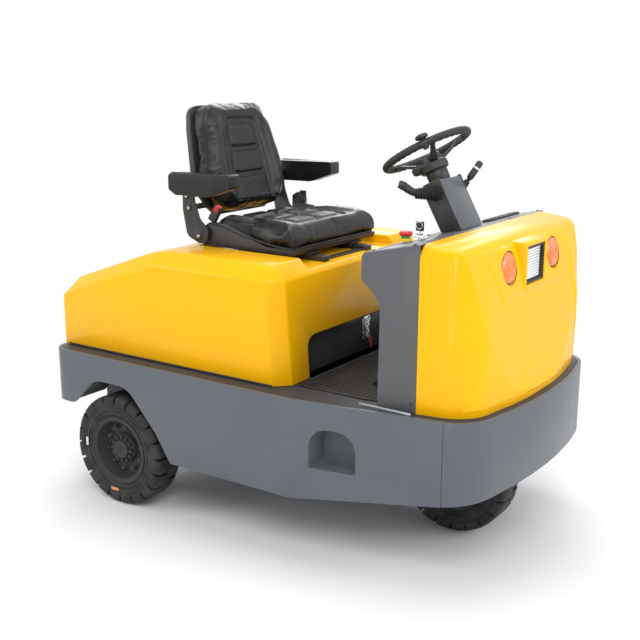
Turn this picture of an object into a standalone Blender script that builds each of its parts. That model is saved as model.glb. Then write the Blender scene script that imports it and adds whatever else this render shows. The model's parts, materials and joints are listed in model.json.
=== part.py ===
"""Electric baggage tug: three wheels, open driver's place, seat on a tipping rear hood.

Metres, +X forward, +Y to the driver's left, +Z up, the origin on the ground under the middle.
"""

import math

import bmesh
import bpy
from mathutils import Matrix, Vector

# Fits
gap = 0.0003            # between pieces that touch
runGap = 0.006          # between a moving piece and a fixed one
arcSteps = 5            # segments in one rounded corner

# Chassis
rearX = -0.790
halfWidth = 0.525
kinkX = 0.228           # the side plates turn inward here
cornerX = 0.777
cornerHalf = 0.438
noseX = 0.836
cornerRadius = 0.130
rearRadius = 0.060
skirtTop = 0.520
skirtBottom = 0.207
noseBottom = 0.276
flapBottom = 0.335
plateThick = 0.012
bumperX = 0.700         # the bumper is welded to the side plates here
archTop = 0.434
archRearX = -0.590
archFrontX = -0.435
archKneeX = -0.312
archKneeZ = 0.300
archFootX = -0.250
flapX = -0.690

# Pocket in each side plate
pocketX = 0.367
pocketWidth = 0.150
pocketBottom = 0.316
pocketTop = 0.441
pocketRadius = 0.060
pocketBack = 0.430      # distance of the back wall from the centre plane
pocketWall = 0.004

# Deck
deckThick = 0.012
trayRearX = -0.714
trayFrontX = 0.090
trayHalf = 0.345
trayWall = 0.005
trayBottom = 0.240
matRearX = 0.180
matFrontX = 0.470
matHalf = 0.400
matThick = 0.004

# Wheels
tyreRadius = 0.1925
tyreHalf = 0.0575
rimRadius = 0.1215
seatRadius = 0.111
rimHalf = 0.0525
lipWidth = 0.0105
hubRadius = 0.036
hubOut = 0.032
hubIn = 0.030
wheelSteps = 40
rearAxleX = -0.505
rearTrackHalf = 0.455
axleRadius = 0.032
frontAxleX = 0.535
forkInner = 0.068
forkThick = 0.012
forkLegHalf = 0.040
frontHubHalf = 0.060
pinRadius = 0.015
headRadius = 0.085
headBottom = 0.440
crownThick = 0.034

# Drive and battery
motorLength = 0.260
motorHalf = 0.075
motorBottom = 0.105
batteryRearX = -0.640
batteryFrontX = -0.020
batteryHalf = 0.260
batteryTop = 0.760

# Front cowl and dash
cowlRearX = 0.603
cowlHalf = 0.4285       # half width at the seam
cowlCornerX = 0.752
cowlNoseX = 0.808
cowlCornerRadius = 0.120
cowlTop = 1.004
cowlWall = 0.006
shoulderRadius = 0.045
shoulderOut = 0.001     # keeps the shoulders clear of the flat sides
dashRearX = 0.430
dashWallX = 0.485
dashTopRearZ = 0.968
dashWall = 0.004
lampY = 0.162
lampZ = 0.914
lampRadius = 0.048
lampFront = 0.757
lampDepth = 0.060
headlampHalf = 0.060
headlampLow = 0.852
headlampHigh = 0.962
headlampFront = 0.764

# Steering
wheelX = 0.383
wheelZ = 1.221
columnLean = math.radians(29.3)
wheelRing = 0.137
ringTube = 0.0125
wheelHubRadius = 0.030
wheelHubDrop = 0.062
spokeRadius = 0.009
columnWidth = 0.144
columnDepth = 0.070
columnReach = 0.150     # length of the box along the lean
columnShaft = 0.013

# Hood
hoodRearX = -0.786
hoodHalf = 0.462
hoodTop = 0.890
hoodRidgeX = -0.367
hoodRearTop = 0.7425
hoodFootX = 0.166
hoodFrontLean = 0.030
hoodBevel = 0.045
hoodWall = 0.006
recessRearX = -0.360
recessHalf = 0.270
recessFloor = 0.858
doorHalf = 0.320        # opening in the hood's front wall
doorTop = 0.655
doorRadius = 0.040
riserX = 0.120
riserTop = 0.690
riserHalf = 0.400
riserThick = 0.004

# Seat
railY = 0.130
railHalf = 0.014
railTop = 0.876
panHalf = 0.245
panBottom = 0.886
panTop = 0.905
panRearX = -0.345
panFrontX = 0.056
cheekWidth = 0.020
cushionHalf = 0.248
cushionTop = 0.968
cushionStepX = -0.130
backX = -0.352
backZ = 0.975
backLean = math.radians(15)
backHeight = 0.378
backThick = 0.065
shellThick = 0.018
hingeX = -0.334
hingeZ = 0.918
bracketY = 0.252
bracketThick = 0.006
armPivotX = -0.380
armPivotZ = 1.085
armInner = 0.264
armWidth = 0.056
armFrontX = -0.150
armRearX = -0.410

# Hitch
jawRearX = -0.835
jawFrontX = -0.720
jawHalf = 0.060
jawBottom = 0.300
jawTop = 0.400
slotLow = 0.330
slotHigh = 0.370
hitchX = -0.812
hitchPinRadius = 0.012
hitchPinTop = 0.430

paints = {
    "yellow": ((1.0, 0.53, 0.0, 1), 0.25, 0.0),
    "grey": ((0.14, 0.16, 0.185, 1), 0.5, 0.0),
    "darkGrey": ((0.06, 0.065, 0.07, 1), 0.55, 0.0),
    "black": ((0.02, 0.02, 0.022, 1), 0.6, 0.0),
    "rubber": ((0.018, 0.018, 0.018, 1), 0.85, 0.0),
    "vinyl": ((0.03, 0.03, 0.033, 1), 0.45, 0.0),
    "mat": ((0.05, 0.04, 0.035, 1), 0.8, 0.0),
    "steel": ((0.5, 0.5, 0.5, 1), 0.35, 1.0),
    "chrome": ((0.75, 0.75, 0.75, 1), 0.15, 1.0),
    "amber": ((1.0, 0.22, 0.02, 1), 0.2, 0.0),
    "clear": ((0.85, 0.87, 0.88, 1), 0.1, 0.0),
    "red": ((0.7, 0.01, 0.01, 1), 0.35, 0.0),
    "silver": ((0.45, 0.46, 0.48, 1), 0.4, 0.6),
}

for old in list(bpy.data.objects):
    bpy.data.objects.remove(old, do_unlink=True)
parts = bpy.data.collections.new("baggage_tug")
tools = bpy.data.collections.new("cutters")
tools.hide_render = True
bpy.context.scene.collection.children.link(parts)
bpy.context.scene.collection.children.link(tools)

materials = {}
for paintName, (colour, roughness, metallic) in paints.items():
    material = bpy.data.materials.new(paintName)
    material.use_nodes = True
    shader = material.node_tree.nodes["Principled BSDF"]
    shader.inputs["Base Color"].default_value = colour
    shader.inputs["Roughness"].default_value = roughness
    shader.inputs["Metallic"].default_value = metallic
    materials[paintName] = material


def addObject(name, mesh, paint=None):
    """Puts a mesh in the scene: a piece if it has a paint, otherwise a cutter."""
    body = bpy.data.objects.new(name, mesh)
    if paint:
        mesh.materials.clear()
        mesh.materials.append(materials[paint])
        parts.objects.link(body)
    else:
        tools.objects.link(body)
        body.display_type = "WIRE"
    return body


def block(name, low, high, paint=None):
    """A box between two corners."""
    mesh = bpy.data.meshes.new(name)
    shape = bmesh.new()
    bmesh.ops.create_cube(shape, size=1)
    size = Vector(high) - Vector(low)
    middle = (Vector(high) + Vector(low)) / 2
    bmesh.ops.scale(shape, vec=size, verts=shape.verts)
    bmesh.ops.translate(shape, vec=middle, verts=shape.verts)
    shape.to_mesh(mesh)
    shape.free()
    return addObject(name, mesh, paint)


def rounded(corners):
    """Turns (a, b, radius) corners into points, each radius an arc."""
    points = []
    count = len(corners)
    for index, (a, b, radius) in enumerate(corners):
        here = Vector((a, b))
        if radius <= 0:
            points.append(here)
            continue
        before = Vector(corners[index - 1][:2]) - here
        after = Vector(corners[(index + 1) % count][:2]) - here
        half = before.angle(after) / 2
        reach = radius / math.tan(half)
        centre = here + (before.normalized() + after.normalized()).normalized() * radius / math.sin(half)
        first = here + before.normalized() * reach - centre
        last = here + after.normalized() * reach - centre
        sweep = first.angle_signed(last)
        for step in range(arcSteps + 1):
            turn = Matrix.Rotation(-sweep * step / arcSteps, 2)
            points.append(centre + turn @ first)
    return points


def prism(name, corners, plane, low, high, paint=None):
    """A flat outline in the plane XY, XZ or YZ, made solid from low to high along the third axis."""
    curve = bpy.data.curves.new(name, "CURVE")
    curve.dimensions = "2D"
    curve.fill_mode = "BOTH"
    curve.extrude = (high - low) / 2
    points = rounded(corners)
    spline = curve.splines.new("POLY")
    spline.points.add(len(points) - 1)
    for spot, point in zip(spline.points, points):
        spot.co = (point.x, point.y, 0, 1)
    spline.use_cyclic_u = True
    flat = bpy.data.objects.new(name + "_outline", curve)
    tools.objects.link(flat)
    bpy.context.view_layer.update()
    mesh = bpy.data.meshes.new_from_object(flat)
    bpy.data.objects.remove(flat)
    bpy.data.curves.remove(curve)
    frames = {
        "XY": ((1, 0, 0), (0, 1, 0), (0, 0, 1)),
        "XZ": ((1, 0, 0), (0, 0, 1), (0, -1, 0)),
        "YZ": ((0, 1, 0), (0, 0, 1), (1, 0, 0)),
    }
    across, up, out = (Vector(axis) for axis in frames[plane])
    turn = Matrix((across, up, out)).transposed().to_4x4()
    sign = out.x + out.y + out.z
    middle = out * (sign * (low + high) / 2)
    mesh.transform(Matrix.Translation(middle) @ turn)
    shape = bmesh.new()
    shape.from_mesh(mesh)
    bmesh.ops.remove_doubles(shape, verts=shape.verts, dist=1e-6)
    bmesh.ops.recalc_face_normals(shape, faces=shape.faces)
    shape.to_mesh(mesh)
    shape.free()
    return addObject(name, mesh, paint)


def turned(name, profile, centre, axis, paint=None, steps=32):
    """A profile of (radius, distance along the axis), top to bottom, spun round the axis."""
    mesh = bpy.data.meshes.new(name)
    verts = [(radius, 0, along) for radius, along in profile]
    links = [(spot, spot + 1) for spot in range(len(verts) - 1)]
    if profile[0][0] > 0:
        links.append((len(verts) - 1, 0))
    mesh.from_pydata(verts, links, [])
    body = addObject(name, mesh, paint)
    screw = body.modifiers.new("turn", "SCREW")
    screw.axis = "Z"
    screw.angle = math.tau
    screw.steps = steps
    screw.render_steps = steps
    screw.use_merge_vertices = True
    screw.merge_threshold = 0.00005
    screw.use_smooth_shade = False
    body.rotation_mode = "QUATERNION"
    body.rotation_quaternion = Vector((0, 0, 1)).rotation_difference(Vector(axis))
    body.location = centre
    return body


def rod(name, start, end, radius, paint=None, steps=24):
    """A plain cylinder between two points."""
    start = Vector(start)
    along = Vector(end) - start
    length = along.length
    profile = [(0, length), (radius, length), (radius, 0), (0, 0)]
    return turned(name, profile, start, along.normalized(), paint, steps)


def combine(body, kind, *others):
    """Adds one Boolean for each other object."""
    for other in others:
        step = body.modifiers.new(kind.lower() + "_" + other.name, "BOOLEAN")
        step.operation = kind
        step.solver = "EXACT"
        step.object = other
    return body


def mirrored(corners):
    """Completes an outline drawn for y < 0, from the back to the front, with its other side."""
    return corners + [(x, -y, radius) for x, y, radius in reversed(corners) if y != 0]


def inset(corners, depth):
    """Moves each side of a convex outline inward."""
    count = len(corners)
    middle = sum((Vector(corner[:2]) for corner in corners), Vector((0, 0))) / count
    lines = []
    for index in range(count):
        start = Vector(corners[index][:2])
        along = (Vector(corners[(index + 1) % count][:2]) - start).normalized()
        inward = Vector((-along.y, along.x))
        if inward.dot(middle - start) < 0:
            inward = -inward
        lines.append((start + inward * depth, along))
    moved = []
    for index in range(count):
        (a, along), (b, other) = lines[index - 1], lines[index]
        turn = along.cross(other)
        spot = a + along * ((b - a).cross(other) / turn) if abs(turn) > 1e-9 else b
        radius = corners[index][2]
        moved.append((spot.x, spot.y, max(radius - depth, 0.001) if radius else 0))
    return moved


# Chassis: a low skirt of thick plates round a deck
bow = (noseX - cornerX) / cornerHalf ** 2
taper = (halfWidth - cornerHalf) / (cornerX - kinkX)
skirtSide = [(rearX, -halfWidth, rearRadius), (kinkX, -halfWidth, 0), (cornerX, -cornerHalf, cornerRadius)]
for share in (0.75, 0.5, 0.25, 0):
    skirtSide.append((noseX - bow * (share * cornerHalf) ** 2, -share * cornerHalf, 0))
skirt = mirrored(skirtSide)
rise = (noseBottom - skirtBottom) / (cornerX - kinkX)
far = 1.0
under = [
    (rearX - far, 0, 0),
    (rearX - far, flapBottom, 0),
    (flapX, flapBottom, 0.02),
    (archRearX, archTop, 0.10),
    (archFrontX, archTop, 0.09),
    (archKneeX, archKneeZ, 0.12),
    (archFootX, skirtBottom, 0.01),
    (kinkX, skirtBottom, 0),
    (kinkX + far, skirtBottom + rise * far, 0),
    (kinkX + far, 0, 0),
]
outer = prism("skirt_outer", skirt, "XY", 0.10, skirtTop)
inner = prism("skirt_inner", inset(skirt, plateThick), "XY", 0.05, skirtTop + 0.1)
below = prism("skirt_below", under, "XZ", -1, 1)
pocketOutline = [
    (pocketX - pocketWidth / 2, pocketBottom, 0.006),
    (pocketX + pocketWidth / 2, pocketBottom, 0.006),
    (pocketX + pocketWidth / 2, pocketTop, pocketRadius),
    (pocketX - pocketWidth / 2, pocketTop, pocketRadius),
]
pocketCase = inset(pocketOutline, -pocketWall)
pocketCase = [(a, b, 0.01 + pocketWall if b < 0.38 else pocketRadius + pocketWall) for a, b, _ in pocketCase]
rearInner = rearX + plateThick
for sideName, side in (("right", -1), ("left", 1)):
    plate = prism(sideName + "_side_plate", skirt, "XY", 0.10, skirtTop, "grey")
    reach = sorted((side * 0.2, side * far))
    region = block(sideName + "_region", (rearInner + gap, reach[0], 0), (bumperX, reach[1], 1))
    span = sorted((side * (pocketBack - pocketWall), side * (halfWidth + 0.02)))
    case = prism(sideName + "_pocket_case", pocketCase, "XZ", *span)
    combine(case, "INTERSECT", outer)
    span = sorted((side * pocketBack, side * (halfWidth + 0.05)))
    hole = prism(sideName + "_pocket_hole", pocketOutline, "XZ", *span)
    combine(plate, "DIFFERENCE", inner)
    combine(plate, "UNION", case)
    combine(plate, "DIFFERENCE", hole, below)
    combine(plate, "INTERSECT", region)

bumper = prism("front_bumper", skirt, "XY", 0.10, skirtTop, "grey")
noseRegion = block("nose_region", (bumperX + gap, -1, 0), (noseX + 0.1, 1, 1))
combine(bumper, "DIFFERENCE", inner, below)
combine(bumper, "INTERSECT", noseRegion)

# Rear plate with the hitch jaws
beyond = 0.05
rearPlate = block("rear_plate", (rearX - beyond, -far, flapBottom), (rearInner, far, skirtTop + beyond), "grey")
combine(rearPlate, "INTERSECT", outer)
jaws = block("jaws", (jawRearX, -jawHalf, jawBottom), (jawFrontX, jawHalf, jawTop))
jawSlot = block("jaw_slot", (jawRearX - 0.1, -jawHalf - 0.1, slotLow), (jawFrontX - 0.035, jawHalf + 0.1, slotHigh))
apron = block("apron", (rearX, -jawHalf - 0.06, jawBottom - 0.01), (rearInner, jawHalf + 0.06, flapBottom + 0.02))
pinHole = rod("pin_hole", (hitchX, 0, 0.2), (hitchX, 0, 0.6), hitchPinRadius + gap)
combine(rearPlate, "UNION", apron, jaws)
combine(rearPlate, "DIFFERENCE", jawSlot, pinHole)
hitchProfile = [
    (0, hitchPinTop), (0.010, hitchPinTop), (0.016, hitchPinTop - 0.006), (0.016, hitchPinTop - 0.018),
    (0.014, jawTop + gap), (hitchPinRadius, jawTop + gap), (hitchPinRadius, jawBottom - 0.004),
    (hitchPinRadius - 0.003, jawBottom - 0.010), (0, jawBottom - 0.010),
]
turned("hitch_pin", hitchProfile, (hitchX, 0, 0), (0, 0, 1), "chrome", 24)

# Deck with the steering head welded under it
deck = prism("deck_plate", inset(skirt, plateThick + gap), "XY", skirtTop - deckThick, skirtTop, "grey")
well = block("battery_well", (trayRearX + 0.01, -trayHalf + 0.015, 0.3), (trayFrontX - 0.01, trayHalf - 0.015, 0.7))
head = rod("steering_head", (frontAxleX, 0, headBottom), (frontAxleX, 0, skirtTop - 0.004), headRadius, None, 40)
combine(deck, "DIFFERENCE", well)
combine(deck, "UNION", head)

# Battery tray and the block it holds
deckUnder = skirtTop - deckThick - gap
tray = block("battery_tray", (trayRearX, -trayHalf, trayBottom), (trayFrontX, trayHalf, deckUnder), "black")
hollow = block(
    "tray_hollow",
    (trayRearX + trayWall, -trayHalf + trayWall, trayBottom + trayWall),
    (trayFrontX - trayWall, trayHalf - trayWall, 1),
)
combine(tray, "DIFFERENCE", hollow)
batteryLow = trayBottom + trayWall + gap
block("battery_block", (batteryRearX, -batteryHalf, batteryLow), (batteryFrontX, batteryHalf, batteryTop), "darkGrey")

# Rear axle with its differential, and the drive motor in front
stubEnd = rearTrackHalf - hubIn - gap
axle = rod("rear_axle", (rearAxleX, -stubEnd, tyreRadius), (rearAxleX, stubEnd, tyreRadius), axleRadius, "darkGrey")
axleParts = [
    block("differential", (rearAxleX - 0.085, -0.085, motorBottom - 0.01), (rearAxleX + 0.085, 0.085, trayBottom - gap)),
]
for side in (-1, 1):
    saddle = sorted((side * 0.24, side * 0.32))
    low = (rearAxleX - 0.05, saddle[0], tyreRadius - 0.01)
    axleParts.append(block("saddle", low, (rearAxleX + 0.05, saddle[1], trayBottom - gap)))
combine(axle, "UNION", *axleParts)
motorRear = rearAxleX + 0.085 + gap
block("drive_motor", (motorRear, -motorHalf, motorBottom), (motorRear + motorLength, motorHalf, trayBottom - gap), "darkGrey")

# Wheels: a pressed rim and a solid tyre
tyreProfile = []
tyreSide = [
    (seatRadius + gap, rimHalf - lipWidth - gap),
    (rimRadius + gap, rimHalf - lipWidth - gap),
    (rimRadius + gap, rimHalf - 0.002),
    (rimRadius + 0.007, tyreHalf - 0.002),
    (0.150, tyreHalf),
    (0.176, tyreHalf - 0.002),
    (tyreRadius - 0.004, tyreHalf - 0.008),
    (tyreRadius, tyreHalf - 0.018),
]
tyreProfile = tyreSide + [(radius, -along) for radius, along in reversed(tyreSide)]
rimBarrel = [
    (0.103, rimHalf - 0.004),
    (rimRadius - 0.006, rimHalf),
    (rimRadius, rimHalf - 0.002),
    (rimRadius, rimHalf - lipWidth),
    (seatRadius, rimHalf - lipWidth),
]
rimProfile = [(0, hubOut), (hubRadius - 0.003, hubOut), (hubRadius, hubOut - 0.003), (hubRadius, 0.008), (0.094, 0.008)]
rimProfile += rimBarrel + [(radius, -along) for radius, along in reversed(rimBarrel)]
rimProfile += [(0.094, -0.004), (hubRadius + 0.004, -0.004), (hubRadius + 0.004, -hubIn), (0, -hubIn)]
for sideName, side in (("left", 1), ("right", -1)):
    centre = (rearAxleX, side * rearTrackHalf, tyreRadius)
    turned("rear_" + sideName + "_rim", rimProfile, centre, (0, side, 0), "darkGrey", wheelSteps)
    turned("rear_" + sideName + "_tyre", tyreProfile, centre, (0, side, 0), "rubber", wheelSteps)

frontProfile = [
    (pinRadius + gap, frontHubHalf), (hubRadius - 0.003, frontHubHalf), (hubRadius, frontHubHalf - 0.003),
    (hubRadius, 0.008), (0.094, 0.008),
]
frontRim = frontProfile + rimBarrel + [(radius, -along) for radius, along in reversed(rimBarrel)]
frontRim += [(radius, -along) for radius, along in reversed(frontProfile)]
frontCentre = (frontAxleX, 0, tyreRadius)
turned("front_rim", frontRim, frontCentre, (0, 1, 0), "darkGrey", wheelSteps)
turned("front_tyre", tyreProfile, frontCentre, (0, 1, 0), "rubber", wheelSteps)

# Steered fork: crown, two legs and the axle pin
crownTop = headBottom - gap
forkOuter = forkInner + forkThick
fork = rod("front_fork", (frontAxleX, 0, crownTop - crownThick), (frontAxleX, 0, crownTop), headRadius, "darkGrey", 40)
legOutline = [
    (frontAxleX - forkLegHalf, tyreRadius - forkLegHalf, forkLegHalf - 0.002),
    (frontAxleX + forkLegHalf, tyreRadius - forkLegHalf, forkLegHalf - 0.002),
    (frontAxleX + forkLegHalf, crownTop - 0.004, 0),
    (frontAxleX - forkLegHalf, crownTop - 0.004, 0),
]
forkParts = []
for side in (-1, 1):
    forkParts.append(prism("leg", legOutline, "XZ", *sorted((side * forkInner, side * forkOuter))))
pinOut = forkOuter + 0.008
forkParts.append(rod("axle_pin", (frontAxleX, -pinOut, tyreRadius), (frontAxleX, pinOut, tyreRadius), pinRadius))
combine(fork, "UNION", *forkParts)

# Front cowl: where a plan outline and a side outline meet, hollow, open behind and below
cowlBow = (cowlNoseX - cowlCornerX) / (cowlHalf - 0.03) ** 2
cowlEdge = cowlHalf - taper * (cowlCornerX - cowlRearX)


def cowlPlan(depth):
    side = [(cowlRearX - 0.1, -cowlHalf - 0.1 * taper, 0), (cowlCornerX + 0.012, -cowlEdge, cowlCornerRadius)]
    for share in (0.7, 0.45, 0.2, 0):
        side.append((cowlNoseX - cowlBow * (share * cowlEdge) ** 2, -share * cowlEdge, 0))
    return inset(mirrored(side), depth) if depth else mirrored(side)


def cowlRoof(depth):
    """A tapered bar with round shoulders, which softens the cowl's upper corners."""
    ends = (cowlRearX - 0.1, cowlNoseX + 0.1)
    half = cowlHalf + 0.1 * taper + shoulderOut - depth
    top = cowlTop + shoulderOut - depth
    radius = shoulderRadius - depth
    roof = prism("cowl_roof", [(-half, 0.3, 0), (half, 0.3, 0), (half, top, radius), (-half, top, radius)], "YZ", *ends)
    narrower = (half - taper * (ends[1] - ends[0])) / half
    for point in roof.data.vertices:
        if point.co.x > cowlRearX:
            point.co.y *= narrower
    return roof


cowlFoot = skirtTop + gap
cowlProfile = [
    (cowlRearX, cowlFoot, 0),
    (cowlNoseX, cowlFoot, 0.004),
    (cowlNoseX - 0.001, cowlFoot + 0.020, 0.006),
    (0.793, 0.575, 0.02),
    (0.778, 0.700, 0),
    (0.748, 0.905, 0.03),
    (0.722, 0.988, 0.045),
    (cowlRearX, cowlTop, 0),
]
cowl = prism("front_cowl", cowlPlan(0), "XY", cowlFoot - 0.1, cowlTop + 0.1, "yellow")
combine(cowl, "INTERSECT", prism("cowl_profile", cowlProfile, "XZ", -1, 1), cowlRoof(0))
cowlHollow = prism("cowl_hollow", cowlPlan(cowlWall), "XY", 0, cowlTop + 0.1)
innerProfile = [(x - cowlWall, z - cowlWall, radius * 0.8) for x, z, radius in cowlProfile[3:-1]]
innerProfile = [(0.4, 0.3, 0), (innerProfile[0][0] + 0.004, 0.3, 0)] + innerProfile + [(0.4, cowlTop - cowlWall, 0)]
combine(cowlHollow, "INTERSECT", prism("cowl_hollow_profile", innerProfile, "XZ", -1, 1), cowlRoof(cowlWall))
frame = block("lamp_frame", (lampFront - 0.08, -headlampHalf - 0.012, headlampLow - 0.012), (headlampFront - 0.006, headlampHalf + 0.012, headlampHigh + 0.012))
frameHole = block("headlamp_hole", (0.5, -headlampHalf - gap, headlampLow - gap), (0.9, headlampHalf + gap, headlampHigh + gap))
combine(cowl, "DIFFERENCE", cowlHollow)
combine(cowl, "UNION", frame)
for sideName, side in (("left", 1), ("right", -1)):
    spot = (lampFront - 0.018, side * lampY, lampZ)
    boss = rod("lamp_boss", (lampFront - 0.07, side * lampY, lampZ), spot, lampRadius + 0.010, None, 40)
    combine(cowl, "UNION", boss)
for sideName, side in (("left", 1), ("right", -1)):
    opening = rod("lamp_hole", (0.5, side * lampY, lampZ), (0.9, side * lampY, lampZ), lampRadius + gap, None, 36)
    combine(cowl, "DIFFERENCE", opening)
    lampProfile = [(0, 0.010), (0.020, 0.008), (0.036, 0.003), (lampRadius, -0.005), (lampRadius, -lampDepth), (0, -lampDepth)]
    turned("turn_lamp_" + sideName, lampProfile, (lampFront, side * lampY, lampZ), (1, 0, 0), "amber", 40)
combine(cowl, "DIFFERENCE", frameHole)
block("headlamp", (headlampFront - 0.075, -headlampHalf, headlampLow), (headlampFront, headlampHalf, headlampHigh), "clear")

# Dash console: two side plates and the wall towards the driver, open in front and on top
dashFrontX = cowlRearX - gap
dashOver = 0.05         # the plan runs past the console's ends, and its side outline cuts it there


def dashPlan(depth):
    """The console's tapered plan, its sides moved inward by depth."""
    ends = (dashRearX - dashOver, dashFrontX + dashOver)
    halves = [cowlHalf + taper * (dashFrontX - x) - depth for x in ends]
    return mirrored([(ends[0], -halves[0], 0), (ends[1], -halves[1], 0)])


dashProfile = [
    (dashFrontX, cowlFoot, 0),
    (dashWallX, cowlFoot, 0),
    (dashWallX + 0.004, 0.845, 0.10),
    (dashRearX, 0.890, 0.03),
    (dashRearX + 0.002, dashTopRearZ, 0.014),
    (dashFrontX, cowlTop, 0),
]
console = prism("dash_console", dashPlan(0), "XY", cowlFoot - 0.1, cowlTop + 0.1, "grey")
combine(console, "INTERSECT", prism("dash_profile", dashProfile, "XZ", -1, 1))
hollowProfile = [
    (dashFrontX + 2 * dashOver, 0.3, 0),
    (dashWallX + dashWall, 0.3, 0),
    (dashWallX + dashWall + 0.004, 0.847, 0.10),
    (dashRearX + dashWall, 0.892, 0.03),
    (dashRearX + dashWall, 1.2, 0),
    (dashFrontX + 2 * dashOver, 1.2, 0),
]
dashHollow = prism("dash_hollow", dashPlan(dashWall), "XY", 0.2, 1.3)
combine(dashHollow, "INTERSECT", prism("dash_hollow_profile", hollowProfile, "XZ", -1, 1))
combine(console, "DIFFERENCE", dashHollow)

# Dash top: a sheet between the console's sides

def dashZ(x):
    """Height of the dash top at x."""
    return dashTopRearZ + 0.0010 + (x - dashRearX) * (cowlTop - dashTopRearZ) / (dashFrontX - dashRearX)


topRearX = dashRearX + dashWall + gap
topThick = 0.006
topSheet = [
    (topRearX, dashZ(topRearX) - topThick, 0), (dashFrontX, dashZ(dashFrontX) - topThick, 0),
    (dashFrontX, dashZ(dashFrontX), 0), (topRearX, dashZ(topRearX), 0),
]
top = prism("dash_top", dashPlan(dashWall + gap), "XY", 0.8, 1.2, "silver")
combine(top, "INTERSECT", prism("top_sheet", topSheet, "XZ", -1, 1))

stopX, stopY = 0.465, -0.265
stopZ = dashZ(stopX + 0.020) + gap
stopProfile = [
    (0, 0.030), (0.015, 0.029), (0.020, 0.024), (0.020, 0.016), (0.011, 0.013),
    (0.011, 0.009), (0.019, 0.009), (0.019, 0), (0, 0),
]
turned("emergency_stop", stopProfile, (stopX, stopY, stopZ), (0, 0, 1), "red", 24)
keyX, keyY = 0.470, -0.190
keyZ = dashZ(keyX + 0.014) + gap
keySwitch = turned("key_switch", [(0, 0.014), (0.012, 0.014), (0.014, 0.010), (0.014, 0), (0, 0)],
                   (keyX, keyY, keyZ), (0, 0, 1), "black", 24)
combine(keySwitch, "UNION", block("key_blade", (keyX - 0.010, keyY - 0.003, keyZ + 0.008), (keyX + 0.010, keyY + 0.003, keyZ + 0.045)))

# Steering column: a leaning box that stands on the dash top, with the shaft above it
leanUp = Vector((-math.sin(columnLean), 0, math.cos(columnLean)))
leanAcross = Vector((math.cos(columnLean), 0, math.sin(columnLean)))
wheelCentre = Vector((wheelX, 0, wheelZ))
columnTop = wheelCentre - leanUp * (wheelHubDrop + 0.046)
columnFoot = columnTop - leanUp * (columnReach + 0.06)
columnCorners = []
for spot, side in ((columnFoot, -1), (columnFoot, 1), (columnTop, 1), (columnTop, -1)):
    corner = spot + leanAcross * side * columnDepth / 2
    columnCorners.append((corner.x, corner.z, 0.004 if spot is columnTop else 0))
column = prism("steering_column", columnCorners, "XZ", -columnWidth / 2, columnWidth / 2, "grey")
dashSpace = [
    (dashRearX - 0.2, dashZ(dashRearX - 0.2) + gap, 0), (dashFrontX + 0.3, dashZ(dashFrontX + 0.3) + gap, 0),
    (dashFrontX + 0.3, 0.5, 0), (dashRearX - 0.2, 0.5, 0),
]
combine(column, "DIFFERENCE", prism("dash_space", dashSpace, "XZ", -1, 1))
shaftTop = wheelCentre - leanUp * (wheelHubDrop + gap)
combine(column, "UNION", rod("steering_shaft", columnTop - leanUp * 0.02, shaftTop, columnShaft))

# Steering wheel: ring, hub, spokes and the spinner knob
ring = [(wheelRing + ringTube * math.cos(math.tau * step / 10), ringTube * math.sin(math.tau * step / 10)) for step in range(10, 0, -1)]
steering = turned("steering_wheel", ring, wheelCentre, leanUp, "black", 32)
hubProfile = [(0, -0.012), (wheelHubRadius - 0.004, -0.012), (wheelHubRadius, -0.020), (wheelHubRadius - 0.006, -wheelHubDrop), (0, -wheelHubDrop)]
wheelParts = [turned("wheel_hub", hubProfile, wheelCentre, leanUp, None, 28)]
for turn in (180, 60, -60):
    angle = math.radians(turn)
    outward = leanAcross * math.cos(angle) + Vector((0, 1, 0)) * math.sin(angle)
    start = wheelCentre - leanUp * 0.036 + outward * 0.010
    wheelParts.append(rod("spoke", start, wheelCentre + outward * wheelRing, spokeRadius, None, 16))
knobAngle = math.radians(-50)
knobOut = leanAcross * math.cos(knobAngle) + Vector((0, 1, 0)) * math.sin(knobAngle)
knobSpot = wheelCentre + knobOut * wheelRing
knobProfile = [(0, 0.040), (0.012, 0.038), (0.019, 0.030), (0.017, 0.020), (0.008, 0.016), (0.008, 0), (0, 0)]
wheelParts.append(turned("spinner_knob", knobProfile, knobSpot, leanUp, None, 20))
combine(steering, "UNION", *wheelParts)

# Levers on the column's sides
columnMiddle = columnTop - leanUp * 0.028
sideY = columnWidth / 2
lever = rod("direction_lever", columnMiddle + Vector((0, -sideY - gap, 0)), columnMiddle + Vector((-0.040, -sideY - 0.055, 0.006)), 0.015, "black", 20)
grip = rod("direction_grip", columnMiddle + Vector((-0.034, -sideY - 0.047, 0.005)), columnMiddle + Vector((-0.095, -sideY - 0.080, 0.030)), 0.010)
flange = rod("direction_flange", columnMiddle + Vector((0, -sideY - gap, 0)), columnMiddle + Vector((0, -sideY - 0.008, 0)), 0.019)
combine(lever, "UNION", grip, flange)
brakeFoot = columnTop - leanUp * 0.035
brake = rod("brake_lever", brakeFoot + Vector((0.010, sideY + gap, 0)), brakeFoot + Vector((0.022, sideY + 0.030, 0.018)), 0.012, "black", 20)
combine(brake, "UNION", rod("brake_grip", brakeFoot + Vector((0.020, sideY + 0.026, 0.014)), brakeFoot + Vector((0.062, sideY + 0.044, 0.085)), 0.009))
sideCut = block("lever_space", (0, -sideY - gap, 0.5), (1, sideY + gap, 2))
combine(lever, "DIFFERENCE", sideCut)
combine(brake, "DIFFERENCE", sideCut)

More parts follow.
